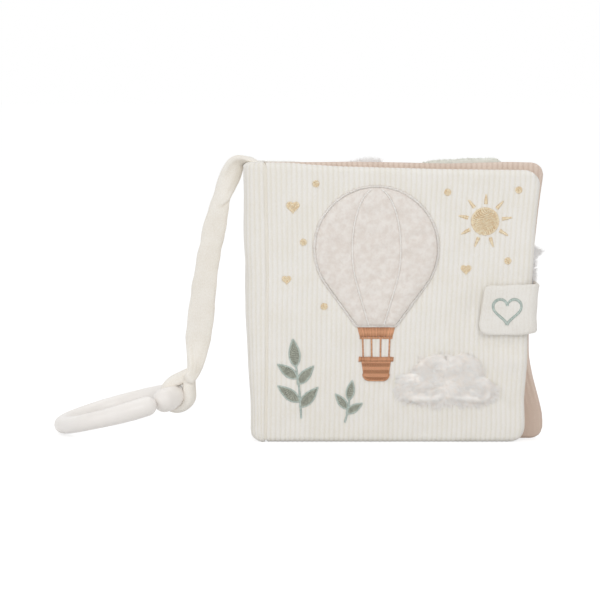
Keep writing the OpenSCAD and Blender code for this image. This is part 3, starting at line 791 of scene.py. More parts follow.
leaf_front = leaf("leaf_front", -4.8, SPLAYED_EDGE, 135.0, 31)
leaf("leaf_middle", 0.0, STRAIGHT_EDGE, 134.8, 32)
leaf("leaf_back", 4.8, STRAIGHT_EDGE, 134.6, 33)
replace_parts(leaf_front, "pages")

# %% Sewn edge that holds the leaves together
def leaf_binding():
    """A soft upright bar between the leaves' sewn edges, with a rounded section."""
    z = np.linspace(1.2, 134.0, 60)
    centre = np.stack([np.full_like(z, -60.2), 0 * z, z], -1)
    across = np.tile([0.0, 1.0, 0.0], (len(z), 1))
    close = round_ends(len(z), 0.03)
    rings, _, _ = tube_rings(centre, across, 6.5 * close, 1.7 * close, 24, 0.6)
    return make_tube("leaf_binding", rings, "spine_block", tan, "tan_jersey",
                     rib=np.full(rings.shape[:2], 0.6))


leaf_binding()

# %% [markdown]
# ## The spine
#
# The spine is a pad with a D-shaped section: flat beside the front seam, round at the back of
# the book, flat again, and a plain wall inside. Its ribs run up it. The section is a path that
# is shrunk a little near head and foot, so that both ends are rounded and closed.

# %% Spine
SPINE_LEFT = ([0, 20, 30, 39, 62, 90, 128, 136], [-68.6, -68.6, -69.2, -69.9, -70.8, -71.3, -71.8, -71.6])
SPINE_W, SPINE_R = 9.4, 6.5


def spine_section(s, inset):
    """A point of the D at distance s from the front seam, set in by inset: x from the seam, y."""
    flat, back = SPINE_W - SPINE_R, 2 * (COVER_OUT - SPINE_R)
    quarter = math.pi * SPINE_R / 2
    total = 2 * (flat + quarter) + back
    near = np.minimum(s, total - s)
    a = 1.5 * np.pi - np.clip((near - flat) / quarter, 0, 1) * np.pi / 2
    x = np.where(near < flat, -near, -flat + (SPINE_R - inset) * np.cos(a))
    y = np.where(near < flat, inset - COVER_OUT, SPINE_R - COVER_OUT + (SPINE_R - inset) * np.sin(a))
    y = y + np.clip(near - flat - quarter, 0, None)
    return x, np.where(s > total / 2, -y, y), total


def spine():
    """Rings of the D with ribs, joined by a plain inner wall, from the foot to the head."""
    _, _, total = spine_section(np.zeros(1), np.zeros(1))
    s = np.concatenate([[0, 0.12], np.linspace(0, total, 18 * 6 + 1)[1:-1], [total - 0.12, total]])
    z = steps_across(135.0, 3.2, 2.6)
    ring, up = np.meshgrid(s, z)
    rib = rib_wave(ring / total * 18 + 0.03 * ripple(ring, up, 30, 6))
    q = np.clip(np.minimum(up / 3.6, (135.0 - up) / 2.6), 0, 1)
    round_in = 3.0 * (1 - np.sqrt(1 - (1 - q) ** 2))
    q_seam = np.clip(np.minimum(ring, total - ring) / 0.9, 0, 1)
    seam_in = 0.9 * (1 - np.sqrt(1 - (1 - q_seam) ** 2))
    swell = 0.25 * ripple(ring * 1.4, up, 26, 9)
    x, y, _ = spine_section(ring, round_in + seam_in + (1 - rib) * 0.3 - swell)
    wall = np.linspace(1, -1, 14)[1:-1]
    wall_up = np.repeat(z[:, None], len(wall), 1)
    wall_x = np.full_like(wall_up, -0.1)
    wall_y = wall * np.abs(y[:, -1:])
    x, y = np.concatenate([x, wall_x], 1), np.concatenate([y, wall_y], 1)
    up = np.concatenate([up, wall_up], 1)
    rib = np.concatenate([rib, np.full_like(wall_up, 0.7)], 1)
    seam, left = soft_curve(up, *SEAM) - 0.25, soft_curve(up, *SPINE_LEFT)
    foot_in = 5.0 * (1 - np.sqrt(1 - (1 - np.clip(up / 5.0, 0, 1)) ** 2))
    x = seam + x / SPINE_W * (seam - left - foot_in)
    shrink = np.array([0.3, 0.7])
    rings, ribs = np.stack([x, y, up], -1), rib
    foot = rings[:1] * shrink[:, None, None] + rings[:1].mean(1) * (1 - shrink[:, None, None])
    head = rings[-1:] * shrink[::-1, None, None] + rings[-1:].mean(1) * (1 - shrink[::-1, None, None])
    rings = np.concatenate([foot, rings, head])[:, ::-1]
    ribs = np.concatenate([ribs[:1]] * 2 + [ribs] + [ribs[-1:]] * 2)[:, ::-1]
    # The spine's rib values paint shade into its grooves.
    piece = make_tube("spine_pad", rings, "spine_block", cream, "cream_jersey", rib=ribs)
    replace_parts(piece, "spine_panel")
    return piece


spine()

# %% [markdown]
# ## The sewn grooves beside the spine
#
# Where cover and spine are sewn together, a narrow welt of jersey lies in the groove, along the
# hinge.


# %% Seam welts
def seam_welt(name, side):
    """A thin soft rod in the groove, following the seam's wander."""
    z = np.linspace(0.8, 134.7, 90)
    x = soft_curve(z, *SEAM)
    centre = np.stack([x, np.full_like(z, side * 14.0), z], -1)
    across = np.tile([1.0, 0.0, 0.0], (len(z), 1))
    close = round_ends(len(z), 0.01)
    rings, _, _ = tube_rings(centre, across, 1.1 * close, 0.55 * close, 10, 0.9)
    # rib 0.1 gives the welt nearly the groove colour: painted shade in the seam's groove.
    piece = make_tube(name, rings, None, cream, "cream_jersey", rib=np.full(rings.shape[:2], 0.1))
    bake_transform(piece)
    return piece


seam_welt("seam_welt_front", -1)
seam_welt("seam_welt_back", 1)

# %% [markdown]
# ## The closing tab
#
# A small pad of smooth jersey, sewn to the back cover, that wraps round the fore edge and closes
# on the front with a touch fastener. It is one sheet bent along a path: front leg, round bend,
# side, round bend, back leg. Its free end is rounded and a little slanted.

# %% Closing tab
TAB_LOW, TAB_HIGH = 52.5, 76.4
TAB_FACE, TAB_BACK, TAB_RIGHT, BEND = 17.6, 16.2, 68.6, 3.4


def closing_tab():
    """P(a) is the path seen from above and N(a) its outward side; points are P + N swell thick."""
    front_leg, side_len = 68.6 - BEND - 41.3, TAB_FACE + TAB_BACK - 2 * BEND
    corner = math.pi * BEND / 2
    marks = np.cumsum([front_leg, corner, side_len, corner, 16.0])
    length, height = marks[-1], TAB_HIGH - TAB_LOW
    grid = sheet_grid((length, height), steps_across(length, 1.6, 0.75), steps_across(height, 1.6, 0.75),
                      (1.6, 0.6, 1.5, 1.5), (4.2, 0.4, 0.4, 2.6))
    a, b, swell, rim = grid
    head_rise = 0.35 * ease(a, 4, 18) + 0.45 * ease(a, 18, 25) + 0.12 * np.sin(a / 2.2)
    z = TAB_LOW + b + ease(b, 8, height) * head_rise
    z = z + 0.9 * ease(a, 20, 27) * (1 - ease(b, 0, 7))
    start = 41.2 + 0.15 * np.clip(b - 6, 0, None) + 0.5 * (1 - ease(b, 0, 6))
    hollow = 0.7 * np.sin(b / height * math.pi)
    lean = (0.035 * (z - 64) + 0.15 * ease(b, height - 7, height) - hollow) * ease(a, 12, 27)
    turn1, turn2 = (a - marks[0]) / BEND, (a - marks[2]) / BEND
    half_pi = math.pi / 2
    x = np.select([a < marks[0], a < marks[1], a < marks[2], a < marks[3]],
                  [start + a / marks[0] * (TAB_RIGHT - BEND - start),
                    TAB_RIGHT - BEND + BEND * np.sin(turn1),
                   TAB_RIGHT, TAB_RIGHT - BEND + BEND * np.cos(turn2)], TAB_RIGHT - BEND - (a - marks[3]))
    y = np.select([a < marks[0], a < marks[1], a < marks[2], a < marks[3]],
                  [0 * a - TAB_FACE, BEND - TAB_FACE - BEND * np.cos(turn1),
                   BEND - TAB_FACE + a - marks[1], TAB_BACK - BEND + BEND * np.sin(turn2)], TAB_BACK)
    face = np.select([a < marks[0], a < marks[1], a < marks[2], a < marks[3]],
                     [0 * a - half_pi, turn1 - half_pi, 0 * a, turn2], half_pi)
    normal = np.stack([np.cos(face), np.sin(face), 0 * face], -1)
    middle = np.stack([x + lean, y, z], -1)
    rib = rib_wave(a / 2.0)
    dome = 0.28 * np.sin(np.clip(b / height, 0, 1) * np.pi) + 0.12 * ripple(a, b, 9, 17)
    near_edge = (1 - ease(np.minimum(b, height - b), 1, 6)) * ease(a, 10, 22)
    pucker = 0.16 * np.sin(a * 2.1 + 2 * np.sin(b)) * near_edge
    thick = swell * (1.15 + dome * swell + pucker)
    outer = middle + normal * (thick - (1 - rib) * 0.12 * swell)[..., None]
    inner = middle - normal * (swell * 0.9)[..., None]
    # The tab's rib values paint shade into its grooves.
    tone = (0.6 + 0.4 * rib)[..., None]
    points, quads = closed_pair(np.concatenate([outer, tone], -1), np.concatenate([inner, tone], -1))
    piece = make_piece("closing_tab_pad", points[:, :3], quads, [], "back_board", cream_back,
                       "cream_jersey", rib=points[:, 3])
    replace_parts(piece, "closing_tab")
    return piece


tab_piece = closing_tab()

# %% [markdown]
# ## The touch fastener
#
# One half is a strip of looped pile sewn to the cover, the other a strip of stiff hooks inside the
# tab. Both are seen once the book is open. A strip is a thin closed sheet whose face is pressed
# into rows of small knobs, worked out as the product of two waves.


# %% Both halves of the fastener
def fastener_half(name, node, base, rise, knob, body):
    """A strip 15 by 16.6 mm: base(x, z) is its back's depth, and its face stands rise off it,
    towards negative y for a negative rise, plus knobs |sin u| |sin v| high."""
    x, z = np.meshgrid(np.linspace(46.4, 61.4, 91), np.linspace(55.9, 72.5, 101))
    rim = np.clip(np.minimum.reduce([x - 46.4, 61.4 - x, z - 55.9, 72.5 - z]) / 0.5, 0, 1)
    bump = knob * np.abs(np.sin(x * math.pi / 1.0) * np.sin(z * math.pi / 1.1)) * rim
    face = base(x, z) + np.sign(rise) * (rim * abs(rise) + bump)
    back = base(x, z) - np.sign(rise) * 0.12 * rim
    near, far = (face, back) if rise < 0 else (back, face)
    # tip follows the knobs' height, so their feet get the darker Root colour: painted shade in the hollows.
    tip = 0.4 + bump / knob * 0.6
    points, quads = closed_pair(np.stack([x, near, z, tip], -1), np.stack([x, far, z, tip], -1))
    piece = make_piece(name, points[:, :3], quads, [], body, fastener, "fastener", tip=points[:, 3],
                       tone=np.full(len(points), 0.5))
    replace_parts(piece, node)
    return piece


fastener_half("fastener_loops", "loop_patch", front_y, -0.35, 0.2, "front_board")
hook_half = fastener_half("fastener_hooks", "hook_patch", lambda x, z: 0 * x - TAB_FACE + 0.85, 0.3, 0.25,
                          "back_board")

# %% [markdown]
# ## Embroidery
#
# Embroidery is many short stitches lying side by side, each a bit of shiny thread that comes up
# out of the cloth, arches over and goes down again. A striped texture would look painted on, so
# every stitch is a little spindle of 24 triangles. All the stitches of one motif are worked out
# in one go. Filled shapes get rows of stitches; outlines and stems get stitches across a line.

# %% Stitches
THREAD_SHARE = np.array([0.1, 0.5, 0.9])


def stitch_points(ends, width, height, surface):
    """Spindles from start to end: three rings of four points and two tips. Ring i lies at share t
    of the stitch, with its half width and height falling off towards the tips."""
    start, finish = ends[:, 0], ends[:, 1]
    way = finish - start
    length = np.linalg.norm(way, axis=1, keepdims=True)
    side = np.stack([-way[:, 1], way[:, 0]], -1) / np.maximum(length, 1e-6)
    t = THREAD_SHARE[None, :, None]
    middle = start[:, None] + way[:, None] * t
    fall = np.array([0.8, 1.0, 0.8])[None, :, None]
    across = side[:, None] * fall * np.broadcast_to(width, (len(ends),))[:, None, None]
    base = surface(middle[..., 0], middle[..., 1])
    lift = np.broadcast_to(height, (len(ends),))[:, None] * np.array([0.55, 1.0, 0.55])

    def at(flat, out):
        return np.stack([flat[..., 0], base - out, flat[..., 1]], -1)
    ring = np.stack([at(middle - across, lift * 0.45), at(middle, lift), at(middle + across, lift * 0.45),
                     at(middle, -0.12 + 0 * lift)], 2)
    tips = np.stack([start, finish], 1)
    tip_y = surface(tips[..., 0], tips[..., 1]) - 0.02
    tips = np.stack([tips[..., 0], tip_y, tips[..., 1]], -1)
    return np.concatenate([ring.reshape(len(ends), 12, 3), tips], 1)


def stitch_faces(count):
    """Quads between the three rings, and triangles to both tips, for every spindle."""
    k = np.arange(4)
    n = (k + 1) % 4
    quads = np.concatenate(
        [np.stack([r * 4 + k, r * 4 + n, r * 4 + 4 + n, r * 4 + 4 + k], -1) for r in (0, 1)])
    tris = np.concatenate(
        [np.stack([k, np.full(4, 12), n], -1), np.stack([8 + k, 8 + n, np.full(4, 13)], -1)])
    shift = 14 * np.arange(count)[:, None, None]
    return (quads[None] + shift).reshape(-1, 4), (tris[None] + shift).reshape(-1, 3)


def embroider(name, ends, width, height, material, slot, body="front_board", surface=front_y, tone=None):
    """One motif's stitches as one piece; each has its own tone, with painted shade towards both ends,
    where it enters the cloth, and a little painted light at its middle.
    """
    ends = np.asarray(ends)
    points = stitch_points(ends, width, height, surface)
    quads, tris = stitch_faces(len(ends))
    tone = rng.uniform(0.45, 1.0, len(ends)) if tone is None else tone
    # Painted shade on the end rings and tips, painted light on the middle ring.
    shade = np.repeat([-0.3, 0.15, -0.3, -0.75], [4, 4, 4, 2])
    tone = (tone[:, None] + shade).ravel()
    return make_piece(name, points.reshape(-1, 3), quads, tris, body, material, slot, tone=tone)


def fill_rows(outline, angle, gap, length):
    """Stitches that fill an outline: rows gap apart, turned by angle, cut where they cross the
    outline, and divided into stitches of about that length, brick fashion."""
    c, s = math.cos(math.radians(angle)), math.sin(math.radians(angle))
    turned = outline @ np.array([[c, -s], [s, c]])
    nxt = np.roll(turned, -1, 0)
    parts = []
    for i, v in enumerate(np.arange(turned[:, 1].min() + gap * 0.4, turned[:, 1].max(), gap)):
        cut = (turned[:, 1] <= v) != (nxt[:, 1] <= v)
        a, b = turned[cut], nxt[cut]
        u = np.sort(a[:, 0] + (v - a[:, 1]) / (b[:, 1] - a[:, 1]) * (b[:, 0] - a[:, 0]))
        for low, high in zip(u[0::2], u[1::2]):
            marks = np.arange(low - length * ((i * 0.37) % 1), high, length)[1:] + rng.uniform(-0.15, 0.15)
            marks = np.concatenate([[low], marks[(marks > low + 0.35) & (marks < high - 0.35)], [high]])
            wobble = v + rng.uniform(-0.04, 0.04, len(marks))
            line = np.stack([marks, wobble], -1)
            parts.append(np.stack([line[:-1] - [0.08, 0], line[1:] + [0.08, 0]], 1))
    return np.concatenate(parts) @ np.array([[c, s], [-s, c]])


def satin_across(line, half, gap, slant=0.12):
    """Stitches across a line, gap apart, each from one side to the other."""
    count = max(3, int(np.sum(np.linalg.norm(np.diff(line, axis=0), axis=1)) / gap))
    line = even_steps(line, count)
    way = unit(np.gradient(line, axis=0))
    side = np.stack([-way[:, 1], way[:, 0]], -1)
    half = np.atleast_1d(half)
    half = np.interp(np.linspace(0, 1, count), np.linspace(0, 1, len(half)), half)[:, None]
    half = half * rng.uniform(0.92, 1.08, (count, 1))
    return np.stack([line - side * half - way * slant, line + side * half + way * slant], 1)


def closed_line(outline):
    """An outline with its first point again at the end."""
    return np.concatenate([outline, outline[:1]])


def inside(points, outline):
    """True where a point lies inside the outline: a ray from it crosses an odd number of sides."""
    x, z = points[:, :1], points[:, 1:]
    x0, z0 = outline[:, 0], outline[:, 1]
    x1, z1 = np.roll(x0, -1), np.roll(z0, -1)
    cross = ((z0 > z) != (z1 > z)) & (x < (x1 - x0) * (z - z0) / (z1 - z0 + 1e-12) + x0)
    return cross.sum(1) % 2 == 1


# %% Sun, hearts and dots in gold
SUN = np.array([44.0, 107.0])
SUN_R, SUN_RAYS = 6.6, 9


def circle(middle, r, count=48):
    """Even points on a circle."""
    a = np.linspace(0, 2 * np.pi, count, endpoint=False)
    return np.asarray(middle) + r * np.stack([np.cos(a), np.sin(a)], -1)


def heart(middle, size):
    """The curve 16 sin^3 a, 13 cos a - 5 cos 2a - 2 cos 3a - cos 4a, scaled to its width."""
    a = np.linspace(0, 2 * np.pi, 80, endpoint=False)
    z = 13 * np.cos(a) - 5 * np.cos(2 * a) - 2 * np.cos(3 * a) - np.cos(4 * a)
    return np.asarray(middle) + size / 32 * np.stack([16 * np.sin(a) ** 3, z], -1)


def sun():
    """A disc in slanting rows with a satin rim, and rays of stitches across that narrow outwards."""
    parts = [fill_rows(circle(SUN, SUN_R - 0.3), 32, 0.34, 1.15),
             satin_across(closed_line(circle(SUN, SUN_R - 0.25)), 0.4, 0.3)]
    for i in range(SUN_RAYS):
        a = math.radians(i * 360 / SUN_RAYS + 8)
        way = np.array([math.cos(a), math.sin(a)])
        ray = SUN + way * np.array([[SUN_R + 1.8], [2 * SUN_R - 0.4]])
        parts.append(satin_across(ray, [0.9, 0.75, 0.35], 0.27, 0.05))
    piece = embroider("sun_stitches", np.concatenate(parts), 0.2, 0.5, gold, "gold_thread")
    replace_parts(piece, "sun")
    return piece


HEARTS = [((-48, 114), 6.4), ((-51, 79), 4.6), ((35, 84), 5.2)]
DOTS = [(-37, 125), (-43, 97), (26, 121), (55, 88), (-33, 66), (60, 122)]
sun()
heart_parts = [fill_rows(heart(m, size - 0.3), 28, 0.3, 1.0) for m, size in HEARTS]
heart_parts += [satin_across(closed_line(heart(m, size - 0.5)), 0.28, 0.3) for m, size in HEARTS]
heart_piece = embroider("heart_stitches", np.concatenate(heart_parts), 0.19, 0.45, gold, "gold_thread")
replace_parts(heart_piece, "gold_hearts")
dot_parts = [fill_rows(circle(m, 1.65, 24), 30 + 20 * i, 0.3, 1.0) for i, m in enumerate(DOTS)]
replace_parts(embroider("dot_stitches", np.concatenate(dot_parts), 0.2, 0.5, gold, "gold_thread"), "gold_dots")

# %% Sprigs in two greens
def leaf_outline(size, at, turn):
    """A leaf from its stalk at the point at, turned by turn degrees from upright: half its width
    is 0.19 size times the sine of 180 degrees times share^0.8."""
    t = np.linspace(0, 1, 24)
    half = 0.19 * size * np.sin(np.pi * t ** 0.8)
    flat = np.concatenate([np.stack([half, size * t], -1), np.stack([-half, size * t], -1)[-2:0:-1]])
    c, s = math.cos(math.radians(turn)), math.sin(math.radians(turn))
    return np.asarray(at) + flat @ np.array([[c, s], [-s, c]])


def sprig(name, node, base, turn, stem_h, leaf_size, pairs):
    """A satin stem, leaves filled with deep green, and a lighter satin rim round each leaf."""
    c, s = math.cos(math.radians(turn)), math.sin(math.radians(turn))
    spin = np.array([[c, s], [-s, c]])
    base = np.array(base, float)
    leaves = [leaf_outline(leaf_size, [0, stem_h - 1], 0)]
    for i in range(pairs):
        for side in (-1, 1):
            at = [0, stem_h * (i + 0.6 + side * 0.12) / (pairs + 0.3)]
            leaves.append(leaf_outline(leaf_size * (0.95 - 0.1 * i), at, side * 48))
    leaves = [base + one @ spin for one in leaves]
    stem_z = np.linspace(0, stem_h, 12)
    stem = base + np.stack([0.5 * np.sin(stem_z / stem_h * 3), stem_z], -1) @ spin
    light = [satin_across(stem, 0.5, 0.3)]
    light += [satin_across(closed_line(one), 0.42, 0.3) for one in leaves]
    deep = [fill_rows(one, 62 + 25 * i, 0.32, 1.05) for i, one in enumerate(leaves)]
    rim = embroider(name + "_rim", np.concatenate(light), 0.19, 0.52, sage, "sage_thread")
    middle = embroider(name + "_fill", np.concatenate(deep), 0.2, 0.42, sage_deep, "sage_thread")
    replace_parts(rim, node)
    return rim, middle


sprig("sprig_tall", "sprig_tall", (-44, 12), 6, 26, 13.5, 2)
sprig("sprig_short", "sprig_short", (-23, 10), -10, 12, 9.5, 1)

# %% Skirt, ropes and basket in brown
SKIRT_TOP, SKIRT_LOW, BASKET_TOP, BASKET_H, BASKET_HALF = 56.35, 50.85, 41.85, 11.5, 7.4


def burner_and_basket():
    """The skirt is satin in upright stitches, the ropes are thin satin lines, and the basket is
    woven: short level stitches in bricks between a thick rim and a rounded foot."""
    x0 = BALLOON_X
    skirt_w = np.linspace(-1, 1, 50)
    skirt = np.stack([np.stack([x0 + skirt_w * MOUTH_HALF, np.full(50, SKIRT_TOP + 0.2)], -1),
                      np.stack([x0 + skirt_w * 7.5,
                                 SKIRT_LOW + 0.35 * np.abs(np.sin(skirt_w * 3 * np.pi))], -1)], 1)
    hems = [satin_across(np.array([[x0 - 7.7, SKIRT_LOW], [x0 + 7.7, SKIRT_LOW]]), 0.5, 0.3)]
    skirt_piece = embroider("skirt_stitches", np.concatenate([skirt] + hems), 0.24, 0.55, brown,
                            "brown_thread")
    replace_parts(skirt_piece, "balloon_skirt")
    ropes = [satin_across(np.array([[x0 + k * 6.5, SKIRT_LOW], [x0 + k * 6.2, BASKET_TOP]]), 0.42, 0.3)
             for k in (-1, -0.34, 0.34, 1)]
    rope_piece = embroider("rope_stitches", np.concatenate(ropes), 0.2, 0.5, brown, "brown_thread")
    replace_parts(rope_piece, "balloon_ropes")
    low = BASKET_TOP - BASKET_H
    a = np.radians(np.linspace(0, -90, 8))
    corner = np.stack([BASKET_HALF - 4.2 + 3 * np.cos(a), low + 3 + 3 * np.sin(a)], -1)
    top_edge = [[-BASKET_HALF, BASKET_TOP], [BASKET_HALF, BASKET_TOP]]
    outline = np.concatenate([top_edge, corner, corner[::-1] * [-1, 1]])
    outline = outline + [x0, 0]
    weave = fill_rows(outline, 0, 0.42, 1.2)
    tone = 0.4 + 0.6 * (np.floor((weave[:, 0, 1] - low) / 1.7) % 2) * rng.uniform(0.7, 1, len(weave))
    edge = satin_across(closed_line(outline)[2:-1], 0.45, 0.3)
    rim = satin_across(np.array([[x0 - 8.2, BASKET_TOP - 1.3], [x0 + 8.2, BASKET_TOP - 1.3]]), 1.3, 0.33)
    piece = embroider("basket_weave", weave, 0.27, 0.5, brown, "brown_thread", tone=tone)
    embroider("basket_rim", np.concatenate([rim, edge]), 0.22, 0.95, brown, "brown_thread")
    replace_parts(piece, "basket")
    return piece


burner_and_basket()

# %% [markdown]
# ## Pile and fur
#
# Short plush and long fur are hairs. Blender's hair system wouldn't survive the export as a mesh,
# so each hair is a thin closed cone of three sides that bends as it rises. Long fur hangs in
# clumps: every hair's tip is drawn towards the tip of the nearest of a few hundred leading hairs.


# %% Hair helper
def hairs(name, roots, ways, lengths, bend, radius, rings, out, body, material, slot, leaders=None, pull=0.6,
          drape=None, lift=0.12):
    """Cones: a point at share t lies at root + way length t + bend t^2, with radius falling as
    (1 - t)^0.7. Each is a low ridge whose back faces the direction out, so that it catches the
    light as the cloth under it does. leaders are (roots, tips) of the clumps tips are drawn to.
    drape(x, z) is a surface that the hairs lie on, rising off it by lift for each mm of length."""
    n = len(roots)
    tone = rng.uniform(0, 1, n)
    share = np.linspace(0, 1, rings + 1)[:-1]
    share = np.concatenate([share, [1.0]])
    line = roots[:, None] + ways[:, None] * (lengths[:, None] * share)[..., None]
    line = line + bend[:, None] * (share ** 2)[None, :, None]
    if leaders is not None:
        near = np.argmin(((roots[:, None] - leaders[0][None]) ** 2).sum(-1), axis=1)
        toward = leaders[1][near] - line[:, -1]
        line = line + toward[:, None] * (pull * share ** 1.5)[None, :, None]
        tone = 0.4 * tone + 0.6 * rng.uniform(0, 1, len(leaders[0]))[near]
    if drape is not None:
        rise = lift * rng.uniform(0.2, 1.0, n) * lengths
        line[..., 1] = drape(line[..., 0], line[..., 2]) + 0.1 - rise[:, None] * share
    way = unit(line[:, -1] - line[:, 0])
    side = unit(np.cross(out, way) + 1e-6)
    ridge = np.cross(way, side)
    turn = np.radians([90, 210, 330])
    size = radius * (1 - share[:-1]) ** 0.7
    ring = line[:, :-1, None] + size[None, :, None, None] * (
        side[:, None, None] * np.cos(turn)[None, None, :, None]
        + 0.35 * ridge[:, None, None] * np.sin(turn)[None, None, :, None])
    points = np.concatenate([ring.reshape(n, -1, 3), line[:, -1:]], 1)
    k = np.arange(3)
    nx = (k + 1) % 3
    quads = [np.stack([r * 3 + k, r * 3 + nx, r * 3 + 3 + nx, r * 3 + 3 + k], -1) for r in range(rings - 1)]
    top = (rings - 1) * 3
    tris = np.concatenate([np.stack([top + k, top + nx, np.full(3, rings * 3)], -1), [[2, 1, 0]]])
    each = rings * 3 + 1
    shift = each * np.arange(n)[:, None, None]
    quads = (np.concatenate(quads)[None] + shift).reshape(-1, 4)
    tris = (tris[None] + shift).reshape(-1, 3)
    tip = np.tile(np.concatenate([np.repeat(share[:-1], 3), [1.0]]), n)
    return make_piece(name, points.reshape(-1, 3), quads, tris, body, material, slot, False, tip=tip,
                      tone=np.repeat(tone, each))


OUT = np.array([[0.0, -1.0, 0.0]])


def rim_in(x, z, line):
    """The distance in from an outline, and 0 outside it."""
    return distance_to(x, z, line) * inside(np.stack([x.ravel(), z.ravel()], -1), line).reshape(x.shape)


def facing(surface, flat):
    """The surface's outward normal at flat places: (dy/dx, -1, dy/dz), made 1 long."""
    x, z = flat.T
    along = surface(x + 0.3, z) - surface(x - 0.3, z)
    upward = surface(x, z + 0.3) - surface(x, z - 0.3)
    return unit(np.stack([along / 0.6, np.full(len(x), -1.0), upward / 0.6], -1))


def scattered(outline, count):
    """count random points inside an outline."""
    low, high = outline.min(0), outline.max(0)
    found = np.zeros((0, 2))
    while len(found) < count:
        draw = rng.uniform(low, high, (2 * count, 2))
        found = np.concatenate([found, draw[inside(draw, outline)]])
    return found[:count]


def pillow(name, outline, middle, top, bottom, body, material, slot, rings=26):
    """A closed dome over an outline. Rings shrink from the outline to the middle; top(x, z, rim)
    and bottom(x, z) give depths, with rim the distance in from the outline."""
    k = 1 - np.linspace(0, 1, rings) ** 1.25
    flat = middle + (outline - middle)[None] * k[:, None, None]
    rim = (1 - k)[:, None] * np.linalg.norm(outline - middle, axis=1)[None]
    above = np.stack([flat[..., 0], top(flat[..., 0], flat[..., 1], rim), flat[..., 1]], -1)
    below = np.stack([flat[..., 0], bottom(flat[..., 0], flat[..., 1]), flat[..., 1]], -1)[::-3]
    grid = np.concatenate([below, above])[:, ::-1]
    tip = np.concatenate([np.zeros(below.shape[:2]), np.full(above.shape[:2], 0.5)])
    return make_tube(name, grid[:, ::-1], body, material, slot, tip=tip, tone=np.full(tip.shape, 0.5))


# %% The balloon's plush
GORE = 0.4
PLUSH_T = 3.1


def gore_line(side, count=90):
    """The cord between two gores: an ellipse arc from the crown to the mouth, GORE as wide."""
    z = np.linspace(BALLOON_Z + BALLOON_R - 0.8, MOUTH_Z + 0.6, count)
    up = (z - BALLOON_Z) / BALLOON_R
    wide = np.where(up > -0.57, np.sqrt(np.clip(1 - up ** 2, 0, 1)), 0)
    straight = np.interp(z, [MOUTH_Z, BALLOON_Z - 0.574 * BALLOON_R],
                         [MOUTH_HALF / BALLOON_R, math.cos(math.radians(35))])
    wide = np.where(up > -0.57, wide, straight)
    return np.stack([BALLOON_X + side * GORE * wide * BALLOON_R, z], -1)


GORES = np.concatenate([gore_line(-1), gore_line(1)])
PLUSH_OUTLINE = envelope(0.1)


def plush_y(x, z, rim):
    """The plush's face: a full round rim, soft lumps, and a groove along each gore line."""
    dome = np.sqrt(1 - (1 - np.clip(rim / 7.0, 0, 1)) ** 2)
    lumps = 0.18 * ripple(x, z, 8, 51) + 0.06 * ripple(x, z, 3, 52, 14)
    groove = 0.55 * np.exp(-(distance_to(x, z, GORES) / 1.2) ** 2)
    return -COVER_OUT - 0.35 - dome * (PLUSH_T - 0.6 - groove + lumps)


balloon_middle = np.array([BALLOON_X, 90.0])
plush_pad = pillow("balloon_plush", PLUSH_OUTLINE, balloon_middle, plush_y,
                   lambda x, z: 0 * x - COVER_OUT + 0.9, "front_board", plush, "short_plush", 44)
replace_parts(plush_pad, "balloon_panel")


def plush_face(x, z):
    """The depth of the plush at x, z."""
    return plush_y(x, z, rim_in(x, z, PLUSH_OUTLINE))


def balloon_pile():
    """Short pile lying in slow swirls over the plush, thin along the cords."""
    flat = scattered(envelope(-0.4), 11000)
    flat = flat[distance_to(flat[:, 0], flat[:, 1], GORES) > 0.75]
    roots = np.stack([flat[:, 0], plush_face(*flat.T), flat[:, 1]], -1)
    swirl = -1.2 + 1.1 * ripple(flat[:, 0], flat[:, 1], 17, 61) + rng.normal(0, 0.85, len(flat))
    ways = unit(np.stack([np.cos(swirl), np.full(len(flat), -0.16), np.sin(swirl)], -1))
    lengths = rng.uniform(0.9, 1.7, len(flat))
    bend = np.stack([np.cos(swirl + 0.7), np.full(len(flat), 0.1), np.sin(swirl + 0.7)], -1) * 0.35
    return hairs("balloon_pile", roots, ways, lengths, bend, 0.2, 2, facing(plush_face, flat),
                 "front_board", plush, "short_plush", drape=plush_face, lift=0.1)


balloon_pile()

# %% The satin cords on the balloon
def plush_cord_y(x, z):
    """The depth at which the gore cords lie, just above the plush."""
    return plush_face(x, z) - 0.1


rim_cord = embroider("balloon_edging_stitches", satin_across(closed_line(envelope(0.62)), 0.8, 0.3),
                     0.21, 1.05, satin, "satin_cord")
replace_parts(rim_cord, "balloon_edging")
gore_stitches = np.concatenate([satin_across(gore_line(s), 0.5, 0.32) for s in (-1, 1)])
embroider("gore_cord_stitches", gore_stitches, 0.2, 0.55, satin, "satin_cord", surface=plush_cord_y)

# %% The cloud of long fur
CLOUD = np.array([25.0, 30.0])
LOBES = [(-15, -3, 8), (-5, 3.5, 10), (8, 3, 11), (17, -4, 7.5)]


def cloud_outline(grow, count=160):
    """The lobes' union seen from a middle point: at each angle, the farthest lobe's far side."""
    a = np.linspace(0, 2 * np.pi, count, endpoint=False)
    way = np.stack([np.cos(a), np.sin(a)], -1)
    start = np.array([1.0, -3.0])
    reach = np.zeros(count)
    for x, z, r in LOBES:
        off = np.array([x, z]) - start
        along = way @ off
        side2 = off @ off - along ** 2
        far_side = along + np.sqrt(np.clip((r + grow) ** 2 - side2, 0, None))
        reach = np.maximum(reach, np.where(side2 < (r + grow) ** 2, far_side, 0))
    to_foot = (-11.0 - grow - start[1]) / np.minimum(way[:, 1], -0.05)
    over_foot = (way[:, 1] < -0.05) & (np.abs(to_foot * way[:, 0]) < 16)
    return CLOUD + start + way * np.where(over_foot, to_foot, reach)[:, None]


CLOUD_MIDDLE = CLOUD + np.array([1.0, -3.0])
CLOUD_EDGE = cloud_outline(-1.0)


